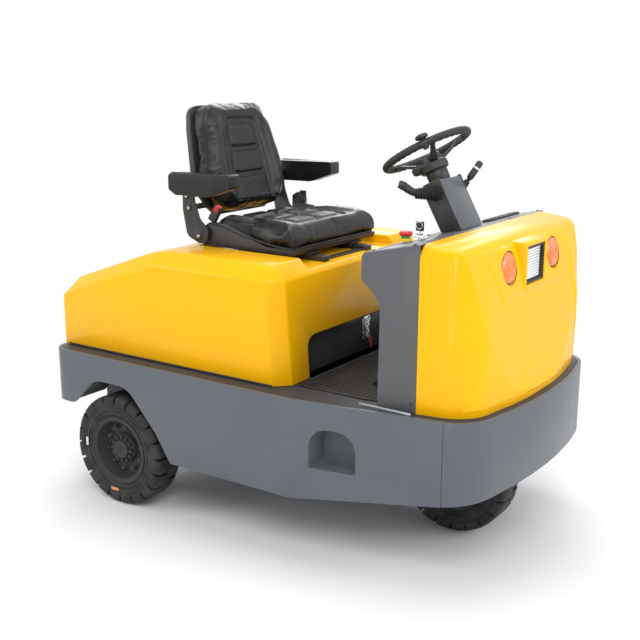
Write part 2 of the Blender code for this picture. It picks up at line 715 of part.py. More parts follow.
# Floor mat and pedals
matTop = skirtTop + gap + matThick
matOutline = [
    (matRearX, -matHalf, 0.01), (matFrontX, -matHalf, 0.01), (matFrontX, matHalf, 0.01), (matRearX, matHalf, 0.01),
]
prism("floor_mat", matOutline, "XY", skirtTop + gap, matTop, "mat")
for pedalName, low, high in (("accelerator_pedal", -0.270, -0.190), ("brake_pedal", -0.120, 0.000)):
    pedalOutline = [
        (0.360, matTop + gap, 0), (0.395, matTop + gap, 0), (0.452, matTop + 0.070, 0.002), (0.444, matTop + 0.076, 0.002),
    ]
    prism(pedalName, pedalOutline, "XZ", low, high, "black")


# Rear hood: the side outline with every upper edge bevelled, hollow, with a well for the seat
def hoodSolid(name, depth, paint=None):
    foot = skirtTop + gap if not depth else 0.4
    drop = (skirtTop + gap - foot) / (hoodTop - skirtTop) * hoodFrontLean
    outline = [
        (hoodRearX + depth, foot, 0),
        (hoodFootX - drop - depth, foot, 0),
        (hoodFootX - hoodFrontLean - depth, hoodTop - depth, 0),
        (hoodRidgeX + depth * 0.2, hoodTop - depth, 0),
        (hoodRearX + depth, hoodRearTop - depth, 0),
    ]
    body = prism(name, outline, "XZ", -hoodHalf + depth, hoodHalf - depth, paint)
    shape = bmesh.new()
    shape.from_mesh(body.data)
    bmesh.ops.dissolve_limit(shape, angle_limit=0.01, verts=shape.verts, edges=shape.edges)
    chosen = []
    for edge in shape.edges:
        first, last = (vert.co for vert in edge.verts)
        onTop = min(first.z, last.z) > hoodRearTop - 0.02
        frontEdge = min(first.x, last.x) > 0 and abs(first.y - last.y) < 0.01
        if onTop or frontEdge:
            chosen.append(edge)
    bmesh.ops.bevel(shape, geom=chosen, offset=hoodBevel - depth * 0.4, segments=1, affect="EDGES", profile=0.5)
    bmesh.ops.recalc_face_normals(shape, faces=shape.faces)
    shape.to_mesh(body.data)
    shape.free()
    return body


hood = hoodSolid("rear_hood", 0, "yellow")
hoodHollow = hoodSolid("hood_hollow", hoodWall)
wellWall = block("seat_well_wall", (recessRearX - hoodWall, -recessHalf - hoodWall, recessFloor - hoodWall), (1, recessHalf + hoodWall, 2))
combine(hoodHollow, "DIFFERENCE", wellWall)
seatWell = block("seat_well", (recessRearX, -recessHalf, recessFloor), (1, recessHalf, 2))
doorOutline = [(-doorHalf, 0.3, 0), (doorHalf, 0.3, 0), (doorHalf, doorTop, doorRadius), (-doorHalf, doorTop, doorRadius)]
door = prism("hood_door", doorOutline, "YZ", 0.05, 0.4)
combine(hood, "DIFFERENCE", hoodHollow, seatWell, door)

# Riser panel behind the opening, and the latch in front of it
block("riser_panel", (riserX, -riserHalf, skirtTop + gap), (riserX + riserThick, riserHalf, riserTop), "darkGrey")
latchX = riserX + riserThick + gap
latch = block("hood_latch", (latchX, 0.052, 0.560), (latchX + 0.010, 0.092, 0.640), "chrome")
combine(latch, "UNION", block("latch_arm", (latchX + 0.004, 0.062, 0.532), (latchX + 0.024, 0.082, 0.625)))

# Seat: rails on the hood, the pan that slides on them, the back with its brackets
rails = block("seat_rails", (-0.260, -railY - railHalf, recessFloor + gap), (0.100, -railY + railHalf, railTop), "black")
railParts = [block("rail", (-0.260, railY - railHalf, recessFloor + gap), (0.100, railY + railHalf, railTop))]
for tieX in (-0.240, 0.060):
    railParts.append(block("tie", (tieX, -railY, recessFloor + gap), (tieX + 0.025, railY, recessFloor + 0.006)))
combine(rails, "UNION", *railParts)

pan = prism(
    "seat_pan",
    [(panRearX + 0.02, panBottom, 0), (panFrontX - 0.012, panBottom, 0.004), (panFrontX, panTop, 0.004), (panRearX + 0.02, panTop, 0)],
    "XZ", -panHalf, panHalf, "black",
)
cheek = [
    (panRearX, panBottom + 0.012, 0.01), (panRearX + 0.06, panBottom, 0.01), (panFrontX - 0.03, panBottom, 0.004),
    (panFrontX - 0.01, panTop - 0.001, 0.004), (-0.060, panTop - 0.001, 0.03), (-0.215, 0.955, 0.03),
    (-0.240, 0.965, 0.01), (-0.300, 0.965, 0.02), (panRearX, 0.930, 0.02),
]
panParts = []
for side in (-1, 1):
    panParts.append(prism("cheek", cheek, "XZ", *sorted((side * (panHalf - cheekWidth), side * panHalf))))
    runner = sorted((side * (railY - railHalf), side * (railY + railHalf)))
    panParts.append(block("runner", (-0.240, runner[0], railTop + gap), (0.000, runner[1], panBottom + 0.004)))
combine(pan, "UNION", *panParts)

cushion = prism(
    "seat_cushion",
    [(-0.295, panTop + gap, 0.015), (cushionStepX + 0.02, panTop + gap, 0), (cushionStepX + 0.02, cushionTop, 0), (-0.295, cushionTop, 0.03)],
    "XZ", -panHalf + cheekWidth + 0.002, panHalf - cheekWidth - 0.002, "vinyl",
)
cushionFront = prism(
    "cushion_front",
    [(cushionStepX + 0.077, panTop + gap, 0), (panFrontX, panTop + gap, 0.012), (panFrontX, cushionTop - 0.004, 0.03), (cushionStepX, cushionTop, 0), (cushionStepX, 0.936, 0)],
    "XZ", -cushionHalf, cushionHalf,
)
combine(cushion, "UNION", cushionFront)

# The back leans, so it is drawn upright and then turned about its foot
lean = Matrix.Translation((backX, 0, backZ)) @ Matrix.Rotation(-backLean, 4, "Y")
# (height up the back, half width)
backRows = [(0, 0.135), (0.030, 0.168), (0.090, 0.208), (0.150, 0.208), (0.300, 0.180), (backHeight, 0.155)]


def backOutline(shrink):
    right = [(-half + shrink, height + (shrink if height == 0 else 0), 0) for height, half in backRows]
    right[-1] = (right[-1][0], backHeight - shrink, 0.05)
    return right + [(-y, z, radius) for y, z, radius in reversed(right)]


shell = prism("seat_back_shell", backOutline(0), "YZ", -shellThick, 0, "black")
shell.data.transform(lean)
bracketOutline = [
    (-0.402, 1.000, 0), (-0.402, 1.100, 0.018), (-0.360, 1.100, 0.018), (-0.350, 1.030, 0.02), (-0.330, 0.975, 0.02),
    (-0.292, 0.940, 0.02), (-0.300, 0.895, 0.02), (-0.334, 0.893, 0.015), (-0.385, 0.915, 0.03),
]
bracketParts = []
for side in (-1, 1):
    span = sorted((side * bracketY, side * (bracketY + bracketThick)))
    bracketParts.append(prism("bracket", bracketOutline, "XZ", *span))
    for boltX, boltZ, inward, radius in ((-0.384, 1.050, 0.170, 0.010), (-0.374, 1.010, 0.150, 0.010), (hingeX, hingeZ, panHalf + gap, 0.014)):
        outside = bracketY + bracketThick + 0.004
        bracketParts.append(rod("bolt", (boltX, side * inward, boltZ), (boltX, side * outside, boltZ), radius, None, 16))
combine(shell, "UNION", *bracketParts)
backCushion = prism("back_cushion", backOutline(0.006), "YZ", gap, backThick, "vinyl")
backCushion.data.transform(lean)

armOutline = [
    (armRearX, 1.130, 0.016), (armFrontX, 1.136, 0.010), (armFrontX, 1.092, 0.008), (-0.240, 1.060, 0.06),
    (-0.380, 1.058, 0.012), (armRearX, 1.075, 0.012),
]
for sideName, side in (("left", 1), ("right", -1)):
    arm = prism("armrest_" + sideName, armOutline, "XZ", *sorted((side * armInner, side * (armInner + armWidth))), "vinyl")
    pivotStart = (armPivotX, side * (bracketY + bracketThick + gap), armPivotZ)
    combine(arm, "UNION", rod("arm_pivot", pivotStart, (armPivotX, side * (armInner + 0.02), armPivotZ), 0.011, None, 20))

beltY = panHalf - cheekWidth
buckle = [(-0.300, 0.9653, 0), (-0.272, 0.9653, 0), (-0.250, 1.012, 0.004), (-0.272, 1.024, 0.004)]
prism("belt_buckle", buckle, "XZ", -panHalf + 0.001, -beltY - 0.001, "red")
retractor = [(-0.296, 0.9653, 0.003), (-0.245, 0.9653, 0.003), (-0.238, 1.000, 0.012), (-0.270, 1.026, 0.012), (-0.296, 1.010, 0.008)]
prism("belt_retractor", retractor, "XZ", beltY + 0.001, panHalf - 0.001, "black")
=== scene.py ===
# Electric tow tractor: finishes, fittings, seat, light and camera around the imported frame
import bpy
import json
import math
from mathutils import Matrix, Vector

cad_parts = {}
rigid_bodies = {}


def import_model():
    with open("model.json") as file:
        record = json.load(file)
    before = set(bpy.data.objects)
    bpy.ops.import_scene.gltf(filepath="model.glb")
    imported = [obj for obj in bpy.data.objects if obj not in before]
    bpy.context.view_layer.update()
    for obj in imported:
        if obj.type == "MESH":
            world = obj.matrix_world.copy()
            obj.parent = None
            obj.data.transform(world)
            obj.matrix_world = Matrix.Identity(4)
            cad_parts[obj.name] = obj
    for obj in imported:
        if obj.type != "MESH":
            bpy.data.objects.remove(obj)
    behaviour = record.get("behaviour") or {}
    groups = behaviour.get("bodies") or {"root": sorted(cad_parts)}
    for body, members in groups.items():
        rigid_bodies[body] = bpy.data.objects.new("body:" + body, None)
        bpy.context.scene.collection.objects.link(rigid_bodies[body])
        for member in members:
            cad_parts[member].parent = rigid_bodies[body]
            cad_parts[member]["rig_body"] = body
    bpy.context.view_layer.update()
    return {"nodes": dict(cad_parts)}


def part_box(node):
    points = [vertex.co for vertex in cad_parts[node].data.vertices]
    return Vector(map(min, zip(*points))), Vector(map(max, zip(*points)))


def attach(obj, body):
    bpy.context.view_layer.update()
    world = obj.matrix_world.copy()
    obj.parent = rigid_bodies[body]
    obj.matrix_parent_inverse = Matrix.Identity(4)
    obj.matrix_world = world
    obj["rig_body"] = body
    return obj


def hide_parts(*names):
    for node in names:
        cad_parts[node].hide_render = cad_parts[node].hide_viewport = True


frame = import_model()
nodes = frame["nodes"]
scene = bpy.context.scene
print("frame loaded,", len(nodes), "nodes")


# shader maths: a socket that takes part in plain sums

class Value:
    def __init__(self, tree, socket):
        self.tree = tree
        self.socket = socket

    def mathWith(self, operation, *terms):
        return addNode(self.tree, "ShaderNodeMath", {"operation": operation}, dict(enumerate(terms)))

    def __add__(self, other):
        return self.mathWith("ADD", self, other)

    def __radd__(self, other):
        return self.mathWith("ADD", other, self)

    def __sub__(self, other):
        return self.mathWith("SUBTRACT", self, other)

    def __rsub__(self, other):
        return self.mathWith("SUBTRACT", other, self)

    def __mul__(self, other):
        return self.mathWith("MULTIPLY", self, other)

    def __rmul__(self, other):
        return self.mathWith("MULTIPLY", other, self)

    def __truediv__(self, other):
        return self.mathWith("DIVIDE", self, other)

    def __gt__(self, other):
        return self.mathWith("GREATER_THAN", self, other)

    def __lt__(self, other):
        return self.mathWith("LESS_THAN", self, other)


def addNode(tree, kind, settings, inputs, output=0):
    node = tree.nodes.new(kind)
    for name, setting in settings.items():
        if name == "stops":
            ramp = node.color_ramp.elements
            while len(ramp) < len(setting):
                ramp.new(0.5)
            for element, (place, shade) in zip(ramp, setting):
                element.position = place
                element.color = shade if len(shade) == 4 else (*shade, 1)
        else:
            setattr(node, name, setting)
    for name, value in inputs.items():
        if isinstance(value, Value):
            tree.links.new(value.socket, node.inputs[name])
        else:
            node.inputs[name].default_value = value
    return Value(tree, node.outputs[output])


def newFinish(name, **fixed):  # a material with the shader's own constants set
    material = bpy.data.materials.new(name)
    material.use_nodes = True
    shader = material.node_tree.nodes["Principled BSDF"]
    for socket, value in fixed.items():
        shader.inputs[socket.replace("_", " ")].default_value = value
    return material, material.node_tree, shader


def feed(shader, socket, value):
    value.tree.links.new(value.socket, shader.inputs[socket])


def where(tree):
    return addNode(tree, "ShaderNodeTexCoord", {}, {}, "Object")


def split(tree, vector):
    node = tree.nodes.new("ShaderNodeSeparateXYZ")
    tree.links.new(vector.socket, node.inputs[0])
    return [Value(tree, socket) for socket in node.outputs]


def noise(tree, scale, detail=4.0, rough=0.55):
    return addNode(tree, "ShaderNodeTexNoise", {}, {"Vector": where(tree), "Scale": scale, "Detail": detail, "Roughness": rough})


def band(tree, value, low, high):  # 0 below low, 1 above high
    return addNode(tree, "ShaderNodeMapRange", {"clamp": True}, {"Value": value, "From Min": low, "From Max": high, "To Min": 0.0, "To Max": 1.0})


def blendOf(tree, factor, first, second):
    settings = {"data_type": "RGBA"}
    colours = {6: first if isinstance(first, Value) else (*first, 1), 7: second if isinstance(second, Value) else (*second, 1)}
    return addNode(tree, "ShaderNodeMix", settings, {0: factor, **colours}, 2)


def raised(tree, shader, height, strength, distance, base=None):  # bump that feeds the normal
    inputs = {"Height": height, "Strength": strength, "Distance": distance}
    if base is not None:
        inputs["Normal"] = base
    feed(shader, "Normal", addNode(tree, "ShaderNodeBump", {}, inputs))


def paintFinish(name, colour, dirt, rough=0.22, coat=0.6, peel=0.05, dirtTop=0.45):
    material, tree, shader = newFinish(name, Coat_Roughness=0.06, Coat_IOR=1.5, Specular_IOR_Level=0.14)
    height = split(tree, where(tree))[2]
    low = 1 - band(tree, height, 0.2, dirtTop)
    smear = band(tree, noise(tree, 7.0, 6.0), 0.42, 0.75)
    grime = smear * (low * 0.20 + 0.015)
    fleck = band(tree, noise(tree, 160.0, 2.0), 0.71, 0.75) * low * 0.2
    shade = blendOf(tree, band(tree, noise(tree, 1.7, 3.0), 0.3, 0.7), colour, [c * 0.955 for c in colour])
    shade = blendOf(tree, grime, shade, dirt)
    feed(shader, "Base Color", blendOf(tree, fleck, shade, [c * 0.6 for c in dirt]))
    feed(shader, "Roughness", rough + grime * 0.5 + band(tree, noise(tree, 26.0), 0.4, 0.8) * 0.05)
    feed(shader, "Coat Weight", coat - grime * 0.8)
    raised(tree, shader, noise(tree, 330.0, 2.0), peel, 0.0006)
    return material


def plasticFinish(name, colour, rough=0.45, grain=420.0, depth=0.25, dust=0.06):
    material, tree, shader = newFinish(name)
    cloud = band(tree, noise(tree, 9.0, 6.0), 0.45, 0.75)
    shade = blendOf(tree, cloud * dust, colour, (0.42, 0.40, 0.37))
    feed(shader, "Base Color", shade)
    feed(shader, "Roughness", rough + cloud * 0.12)
    raised(tree, shader, noise(tree, grain, 3.0), depth, 0.0005)
    return material


def vinylFinish(name, colour):  # creased, fine-grained upholstery
    material, tree, shader = newFinish(name, Coat_Roughness=0.3, Specular_IOR_Level=0.25)
    place = where(tree)
    cells = addNode(tree, "ShaderNodeTexVoronoi", {"feature": "DISTANCE_TO_EDGE"}, {"Vector": place, "Scale": 520.0})
    grain = band(tree, cells, 0.0, 0.12)
    soft = noise(tree, 16.0, 5.0)
    worn = band(tree, soft, 0.5, 0.8)
    feed(shader, "Base Color", blendOf(tree, worn * 0.5, colour, [c * 1.7 + 0.004 for c in colour]))
    feed(shader, "Roughness", 0.34 + worn * 0.10 - grain * 0.05)
    feed(shader, "Coat Weight", 0.18 + worn * 0.12)
    raised(tree, shader, grain * 0.35 + noise(tree, 60.0, 4.0) * 0.6, 0.35, 0.0009)
    return material


def rubberFinish(name, colour, dusty=0.25):
    material, tree, shader = newFinish(name, Specular_IOR_Level=0.35)
    cloud = band(tree, noise(tree, 22.0, 8.0), 0.42, 0.72)
    feed(shader, "Base Color", blendOf(tree, cloud * dusty, colour, (0.17, 0.16, 0.15)))
    feed(shader, "Roughness", 0.58 + cloud * 0.25)
    raised(tree, shader, noise(tree, 240.0, 5.0) + noise(tree, 35.0, 4.0) * 0.6, 0.3, 0.0010)
    return material


def metalFinish(name, colour, rough=0.18, rust=0.0):
    material, tree, shader = newFinish(name, Metallic=1.0)
    cloud = band(tree, noise(tree, 40.0, 6.0), 0.4, 0.75)
    stain = band(tree, noise(tree, 14.0, 8.0), 0.56, 0.72) * rust
    feed(shader, "Base Color", blendOf(tree, stain, blendOf(tree, cloud * 0.3, colour, [c * 0.75 for c in colour]), (0.10, 0.05, 0.03)))
    feed(shader, "Metallic", 1 - stain * 0.8)
    feed(shader, "Roughness", rough + cloud * 0.12 + stain * 0.4)
    raised(tree, shader, noise(tree, 500.0, 2.0), 0.12, 0.0003)
    return material


def lensFinish(name, colour, ribs, direction):  # moulded prism lens
    material, tree, shader = newFinish(name, Coat_Weight=1.0, Coat_Roughness=0.03, Subsurface_Weight=0.25, Subsurface_Scale=0.01)
    parts = split(tree, where(tree))
    wave = (parts[direction] * ribs).mathWith("SINE", parts[direction] * ribs)
    cross = (parts[2] * ribs).mathWith("SINE", parts[2] * ribs)
    cloud = band(tree, noise(tree, 30.0, 3.0), 0.4, 0.7)
    feed(shader, "Base Color", blendOf(tree, band(tree, wave, -1.0, 1.0) * 0.35 + cloud * 0.1, colour, [c * 0.55 for c in colour]))
    feed(shader, "Roughness", 0.12 + cloud * 0.08)
    raised(tree, shader, wave + cross * 0.5, 0.5, 0.0008)
    return material


def treadPlateFinish(name, colour, bright):  # dark anti-slip mat with worn diamonds
    material, tree, shader = newFinish(name, Specular_IOR_Level=0.2)
    parts = split(tree, where(tree))
    a = (parts[0] + parts[1]) * 150.0
    b = (parts[0] - parts[1]) * 150.0
    lozenge = a.mathWith("SINE", a) * b.mathWith("SINE", b)
    stud = band(tree, lozenge, 0.25, 0.6)
    cloud = band(tree, noise(tree, 18.0, 6.0), 0.42, 0.7)
    feed(shader, "Base Color", blendOf(tree, stud * 0.22 + cloud * 0.20, colour, bright))
    feed(shader, "Roughness", 0.62 - stud * 0.2 + cloud * 0.2)
    raised(tree, shader, stud + cloud * 0.2, 0.8, 0.0018)
    return material


finishes = {
    "yellow": paintFinish("yellowBodyPaint", (1.0, 0.50, 0.0), (0.33, 0.20, 0.05), rough=0.32, coat=0.20, peel=0.04, dirtTop=0.60),
    "skirt": paintFinish("greySkirtPaint", (0.118, 0.130, 0.148), (0.085, 0.078, 0.070), rough=0.36, coat=0.25, peel=0.09),
    "dark": paintFinish("darkPanelPaint", (0.048, 0.049, 0.054), (0.09, 0.085, 0.08), rough=0.42, coat=0.15, peel=0.12, dirtTop=0.7),
    "console": paintFinish("consolePaint", (0.112, 0.113, 0.118), (0.07, 0.065, 0.06), rough=0.40, coat=0.2, peel=0.1, dirtTop=0.6),
    "rim": paintFinish("wheelPaint", (0.035, 0.036, 0.039), (0.10, 0.09, 0.08), rough=0.45, coat=0.15, peel=0.15),
    "black": plasticFinish("blackMoulding", (0.016, 0.016, 0.017)),
    "trim": plasticFinish("softBlackTrim", (0.010, 0.010, 0.011), rough=0.6, grain=260.0, depth=0.35),
    "vinyl": vinylFinish("blackUpholstery", (0.0085, 0.0085, 0.0090)),
    "shell": plasticFinish("seatShellMoulding", (0.020, 0.020, 0.021), rough=0.5, grain=300.0, depth=0.3),
    "rubber": rubberFinish("tyreRubber", (0.014, 0.014, 0.014)),
    "gaiter": rubberFinish("gaiterRubber", (0.010, 0.010, 0.010), dusty=0.08),
    "mat": treadPlateFinish("floorMatting", (0.015, 0.013, 0.0115), (0.10, 0.085, 0.07)),
    "chrome": metalFinish("brightSteel", (0.72, 0.72, 0.74)),
    "steel": metalFinish("dullSteel", (0.36, 0.36, 0.37), rough=0.36, rust=0.25),
    "darkSteel": metalFinish("phosphatedSteel", (0.09, 0.09, 0.095), rough=0.42, rust=0.2),
    "amber": lensFinish("amberLens", (1.0, 0.22, 0.0), 900.0, 1),
    "clear": lensFinish("clearLens", (0.86, 0.88, 0.90), 700.0, 1),
    "red": plasticFinish("redMoulding", (0.62, 0.012, 0.010), rough=0.28, depth=0.08),
    "redDark": plasticFinish("darkRedMoulding", (0.30, 0.010, 0.010), rough=0.4, depth=0.08),
    "green": plasticFinish("greenMoulding", (0.03, 0.33, 0.10), rough=0.35, depth=0.08),
    "lemon": plasticFinish("yellowCollar", (0.95, 0.62, 0.02), rough=0.35, depth=0.08),
    "plate": metalFinish("brushedPlate", (0.50, 0.51, 0.53), rough=0.3),
    "silver": plasticFinish("whiteMark", (0.75, 0.76, 0.78), rough=0.4, depth=0.05),
}
print("finishes made,", len(finishes))


# helpers for modelling

def clearSelection():
    if bpy.context.object and bpy.context.object.mode != "OBJECT":
        bpy.ops.object.mode_set(mode="OBJECT")
    bpy.ops.object.select_all(action="DESELECT")


def pick(piece):
    clearSelection()
    piece.select_set(True)
    bpy.context.view_layer.objects.active = piece
    return piece


def settle(piece):  # place, turn and scale go into the mesh
    pick(piece)
    bpy.ops.object.transform_apply(location=True, rotation=True, scale=True)
    return piece


def applied(piece, kind, **settings):
    pick(piece)
    modifier = piece.modifiers.new(kind.lower(), kind)
    for name, value in settings.items():
        setattr(modifier, name, value)
    bpy.ops.object.modifier_apply(modifier=modifier.name)
    return piece


def dressed(piece, name, body, finish, smooth=35.0):
    settle(piece)
    bpy.ops.object.shade_smooth_by_angle(angle=math.radians(smooth))
    piece.name = name
    piece.data.materials.clear()
    piece.data.materials.append(finishes[finish])
    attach(piece, body)
    return piece


def cuboid(low, high, round=0.002, segments=2, cut=0):  # a block between two corners, its edges rounded
    clearSelection()
    low, high = Vector(low), Vector(high)
    bpy.ops.mesh.primitive_cube_add(size=1, location=(low + high) / 2)
    piece = bpy.context.object
    piece.scale = high - low
    settle(piece)
    if cut:
        bpy.ops.object.mode_set(mode="EDIT")
        bpy.ops.mesh.subdivide(number_cuts=cut)
        bpy.ops.object.mode_set(mode="OBJECT")
    if round:
        applied(piece, "BEVEL", width=round, segments=segments, limit_method="ANGLE")
    return piece


def spun(rows, centre, axis, steps=32, closed=True):  # rings (radius, along) pulled out one after another
    clearSelection()
    first = rows[0]
    bpy.ops.mesh.primitive_circle_add(vertices=steps, radius=first[0], location=(0, 0, first[1]), fill_type="NGON" if closed else "NOTHING")
    piece = bpy.context.object
    settle(piece)
    bpy.ops.object.mode_set(mode="EDIT")
    bpy.ops.mesh.select_all(action="SELECT")
    before = first
    for radius, along in rows[1:]:
        bpy.ops.mesh.extrude_region_move(TRANSFORM_OT_translate={"value": (0, 0, along - before[1])})
        grow = radius / before[0]
        bpy.ops.transform.resize(value=(grow, grow, 1), center_override=(0, 0, along))
        before = (radius, along)
    bpy.ops.mesh.select_all(action="SELECT")
    bpy.ops.mesh.remove_doubles(threshold=0.00001)
    bpy.ops.mesh.normals_make_consistent(inside=False)
    bpy.ops.object.mode_set(mode="OBJECT")
    piece.rotation_euler = Vector(axis).to_track_quat("Z", "Y").to_euler()
    piece.location = centre
    return settle(piece)


def piped(points, radius, closed=False, sides=3, taper=None):  # a round bar or bead along points
    clearSelection()
    curve = bpy.data.curves.new("bead", "CURVE")
    curve.dimensions = "3D"
    curve.bevel_depth = radius
    curve.bevel_resolution = sides
    curve.use_fill_caps = True
    line = curve.splines.new("POLY")
    line.points.add(len(points) - 1)
    for spot, place in zip(line.points, points):
        spot.co = (*place, 1)
    line.use_cyclic_u = closed
    for index, spot in enumerate(line.points):
        spot.radius = taper[index] if taper else 1.0
    piece = bpy.data.objects.new("bead", curve)
    scene.collection.objects.link(piece)
    pick(piece)
    bpy.ops.object.convert(target="MESH")
    return bpy.context.object


def chooseFaces(piece, test):  # leaves the piece in edit mode with those faces chosen
    pick(piece)
    bpy.ops.object.mode_set(mode="EDIT")
    bpy.ops.mesh.select_mode(type="FACE")
    bpy.ops.mesh.select_all(action="DESELECT")
    bpy.ops.object.mode_set(mode="OBJECT")
    for face in piece.data.polygons:
        face.select = test(face)
    bpy.ops.object.mode_set(mode="EDIT")


def joined(pieces):
    clearSelection()
    for piece in pieces:
        piece.select_set(True)
    bpy.context.view_layer.objects.active = pieces[0]
    if len(pieces) > 1:
        bpy.ops.object.join()
    return pieces[0]


def copied(piece, turn=None, move=(0, 0, 0)):  # a copy with its own mesh
    twin = piece.copy()
    twin.data = piece.data.copy()
    scene.collection.objects.link(twin)
    if turn is not None:
        twin.data.transform(turn)
    twin.data.transform(Matrix.Translation(move))
    return twin


def around(piece, centre, axis, count, start=0.0):  # the piece and its copies round an axis, as one
    centre = Vector(centre)
    ring = []
    for step in range(count):
        angle = start + step * 2 * math.pi / count
        turn = Matrix.Translation(centre) @ Matrix.Rotation(angle, 4, Vector(axis)) @ Matrix.Translation(-centre)
        ring.append(copied(piece, turn))
    bpy.data.objects.remove(piece)
    return joined(ring)


def screw(place, axis, radius=0.007, height=0.004):  # a domed hexagon-socket screw
    place, axis = Vector(place), Vector(axis).normalized()
    washer = spun([(radius * 1.35, 0), (radius * 1.35, 0.0012), (radius * 1.25, 0.0016)], place, axis, 20)
    head = spun([(radius, 0.001), (radius, height * 0.7), (radius * 0.8, height), (radius * 0.45, height), (radius * 0.45, height * 0.45)], place, axis, 18)
    return joined([washer, head])


# carried-over shapes: a merged copy with its edges rounded takes each node's place

def merged(node):
    source = nodes[node]
    piece = source.copy()
    piece.data = source.data.copy()
    piece.parent = None
    for key in list(piece.keys()):
        del piece[key]
    piece.hide_render = piece.hide_viewport = False
    scene.collection.objects.link(piece)
    pick(piece)
    bpy.ops.object.mode_set(mode="EDIT")
    bpy.ops.mesh.select_all(action="SELECT")
    bpy.ops.mesh.remove_doubles(threshold=0.00002)
    bpy.ops.object.mode_set(mode="OBJECT")
    return piece


def refined(node, finish, edge=0.0016, segments=2, smooth=32.0, name=None):
    piece = merged(node)
    bpy.ops.object.mode_set(mode="EDIT")
    bpy.ops.mesh.select_all(action="SELECT")
    bpy.ops.mesh.dissolve_limited(angle_limit=math.radians(0.8))
    bpy.ops.object.mode_set(mode="OBJECT")
    if edge:
        applied(piece, "BEVEL", width=edge, segments=segments, limit_method="ANGLE", angle_limit=math.radians(30), harden_normals=False)
    dressed(piece, name or node + "_finished", nodes[node]["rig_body"], finish, smooth)
    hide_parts(node)
    return piece


bodyShells = {  # node: finish, edge radius
    "right_side_plate": ("skirt", 0.0022), "left_side_plate": ("skirt", 0.0022), "front_bumper": ("skirt", 0.003),
    "rear_plate": ("skirt", 0.002), "deck_plate": ("dark", 0.001), "floor_mat": ("mat", 0.001),
    "battery_tray": ("dark", 0.001), "battery_block": ("black", 0.003), "rear_axle": ("darkSteel", 0.002),
    "drive_motor": ("darkSteel", 0.002), "front_cowl": ("yellow", 0.004), "dash_console": ("console", 0.002),
    "dash_top": ("console", 0.002), "steering_column": ("dark", 0.004), "riser_panel": ("dark", 0.0015),
    "rear_hood": ("yellow", 0.005), "seat_rails": ("darkSteel", 0.001), "seat_pan": ("shell", 0.003),
    "seat_back_shell": ("shell", 0.003), "seat_cushion": ("vinyl", 0.006), "back_cushion": ("vinyl", 0.006),
    "rear_left_rim": ("rim", 0.001), "rear_right_rim": ("rim", 0.001), "front_rim": ("rim", 0.001),
    "rear_left_tyre": ("rubber", 0.0015), "rear_right_tyre": ("rubber", 0.0015), "front_tyre": ("rubber", 0.0015),
    "front_fork": ("darkSteel", 0.002), "headlamp": ("black", 0.001), "turn_lamp_left": ("amber", 0.001),
    "turn_lamp_right": ("amber", 0.001), "steering_wheel": ("black", 0.0008), "direction_lever": ("black", 0.0006),
    "brake_lever": ("black", 0.0006), "emergency_stop": ("red", 0.001), "key_switch": ("chrome", 0.0005),
    "accelerator_pedal": ("trim", 0.001), "brake_pedal": ("trim", 0.001), "hood_latch": ("chrome", 0.0006),
    "belt_buckle": ("black", 0.001), "belt_retractor": ("black", 0.002), "armrest_left": ("vinyl", 0.004),
    "armrest_right": ("vinyl", 0.004), "hitch_pin": ("steel", 0.001),
}
shells = {}
for nodeName, (finishName, edgeRadius) in bodyShells.items():
    shells[nodeName] = refined(nodeName, finishName, edgeRadius)
print("frame shapes refined,", len(shells))

# tyres: carcass, lugs and blank labels

tyre = {"outer": 0.1922, "groove": 0.176, "half": 0.0572, "lugs": 20, "lugTurn": 0.84}


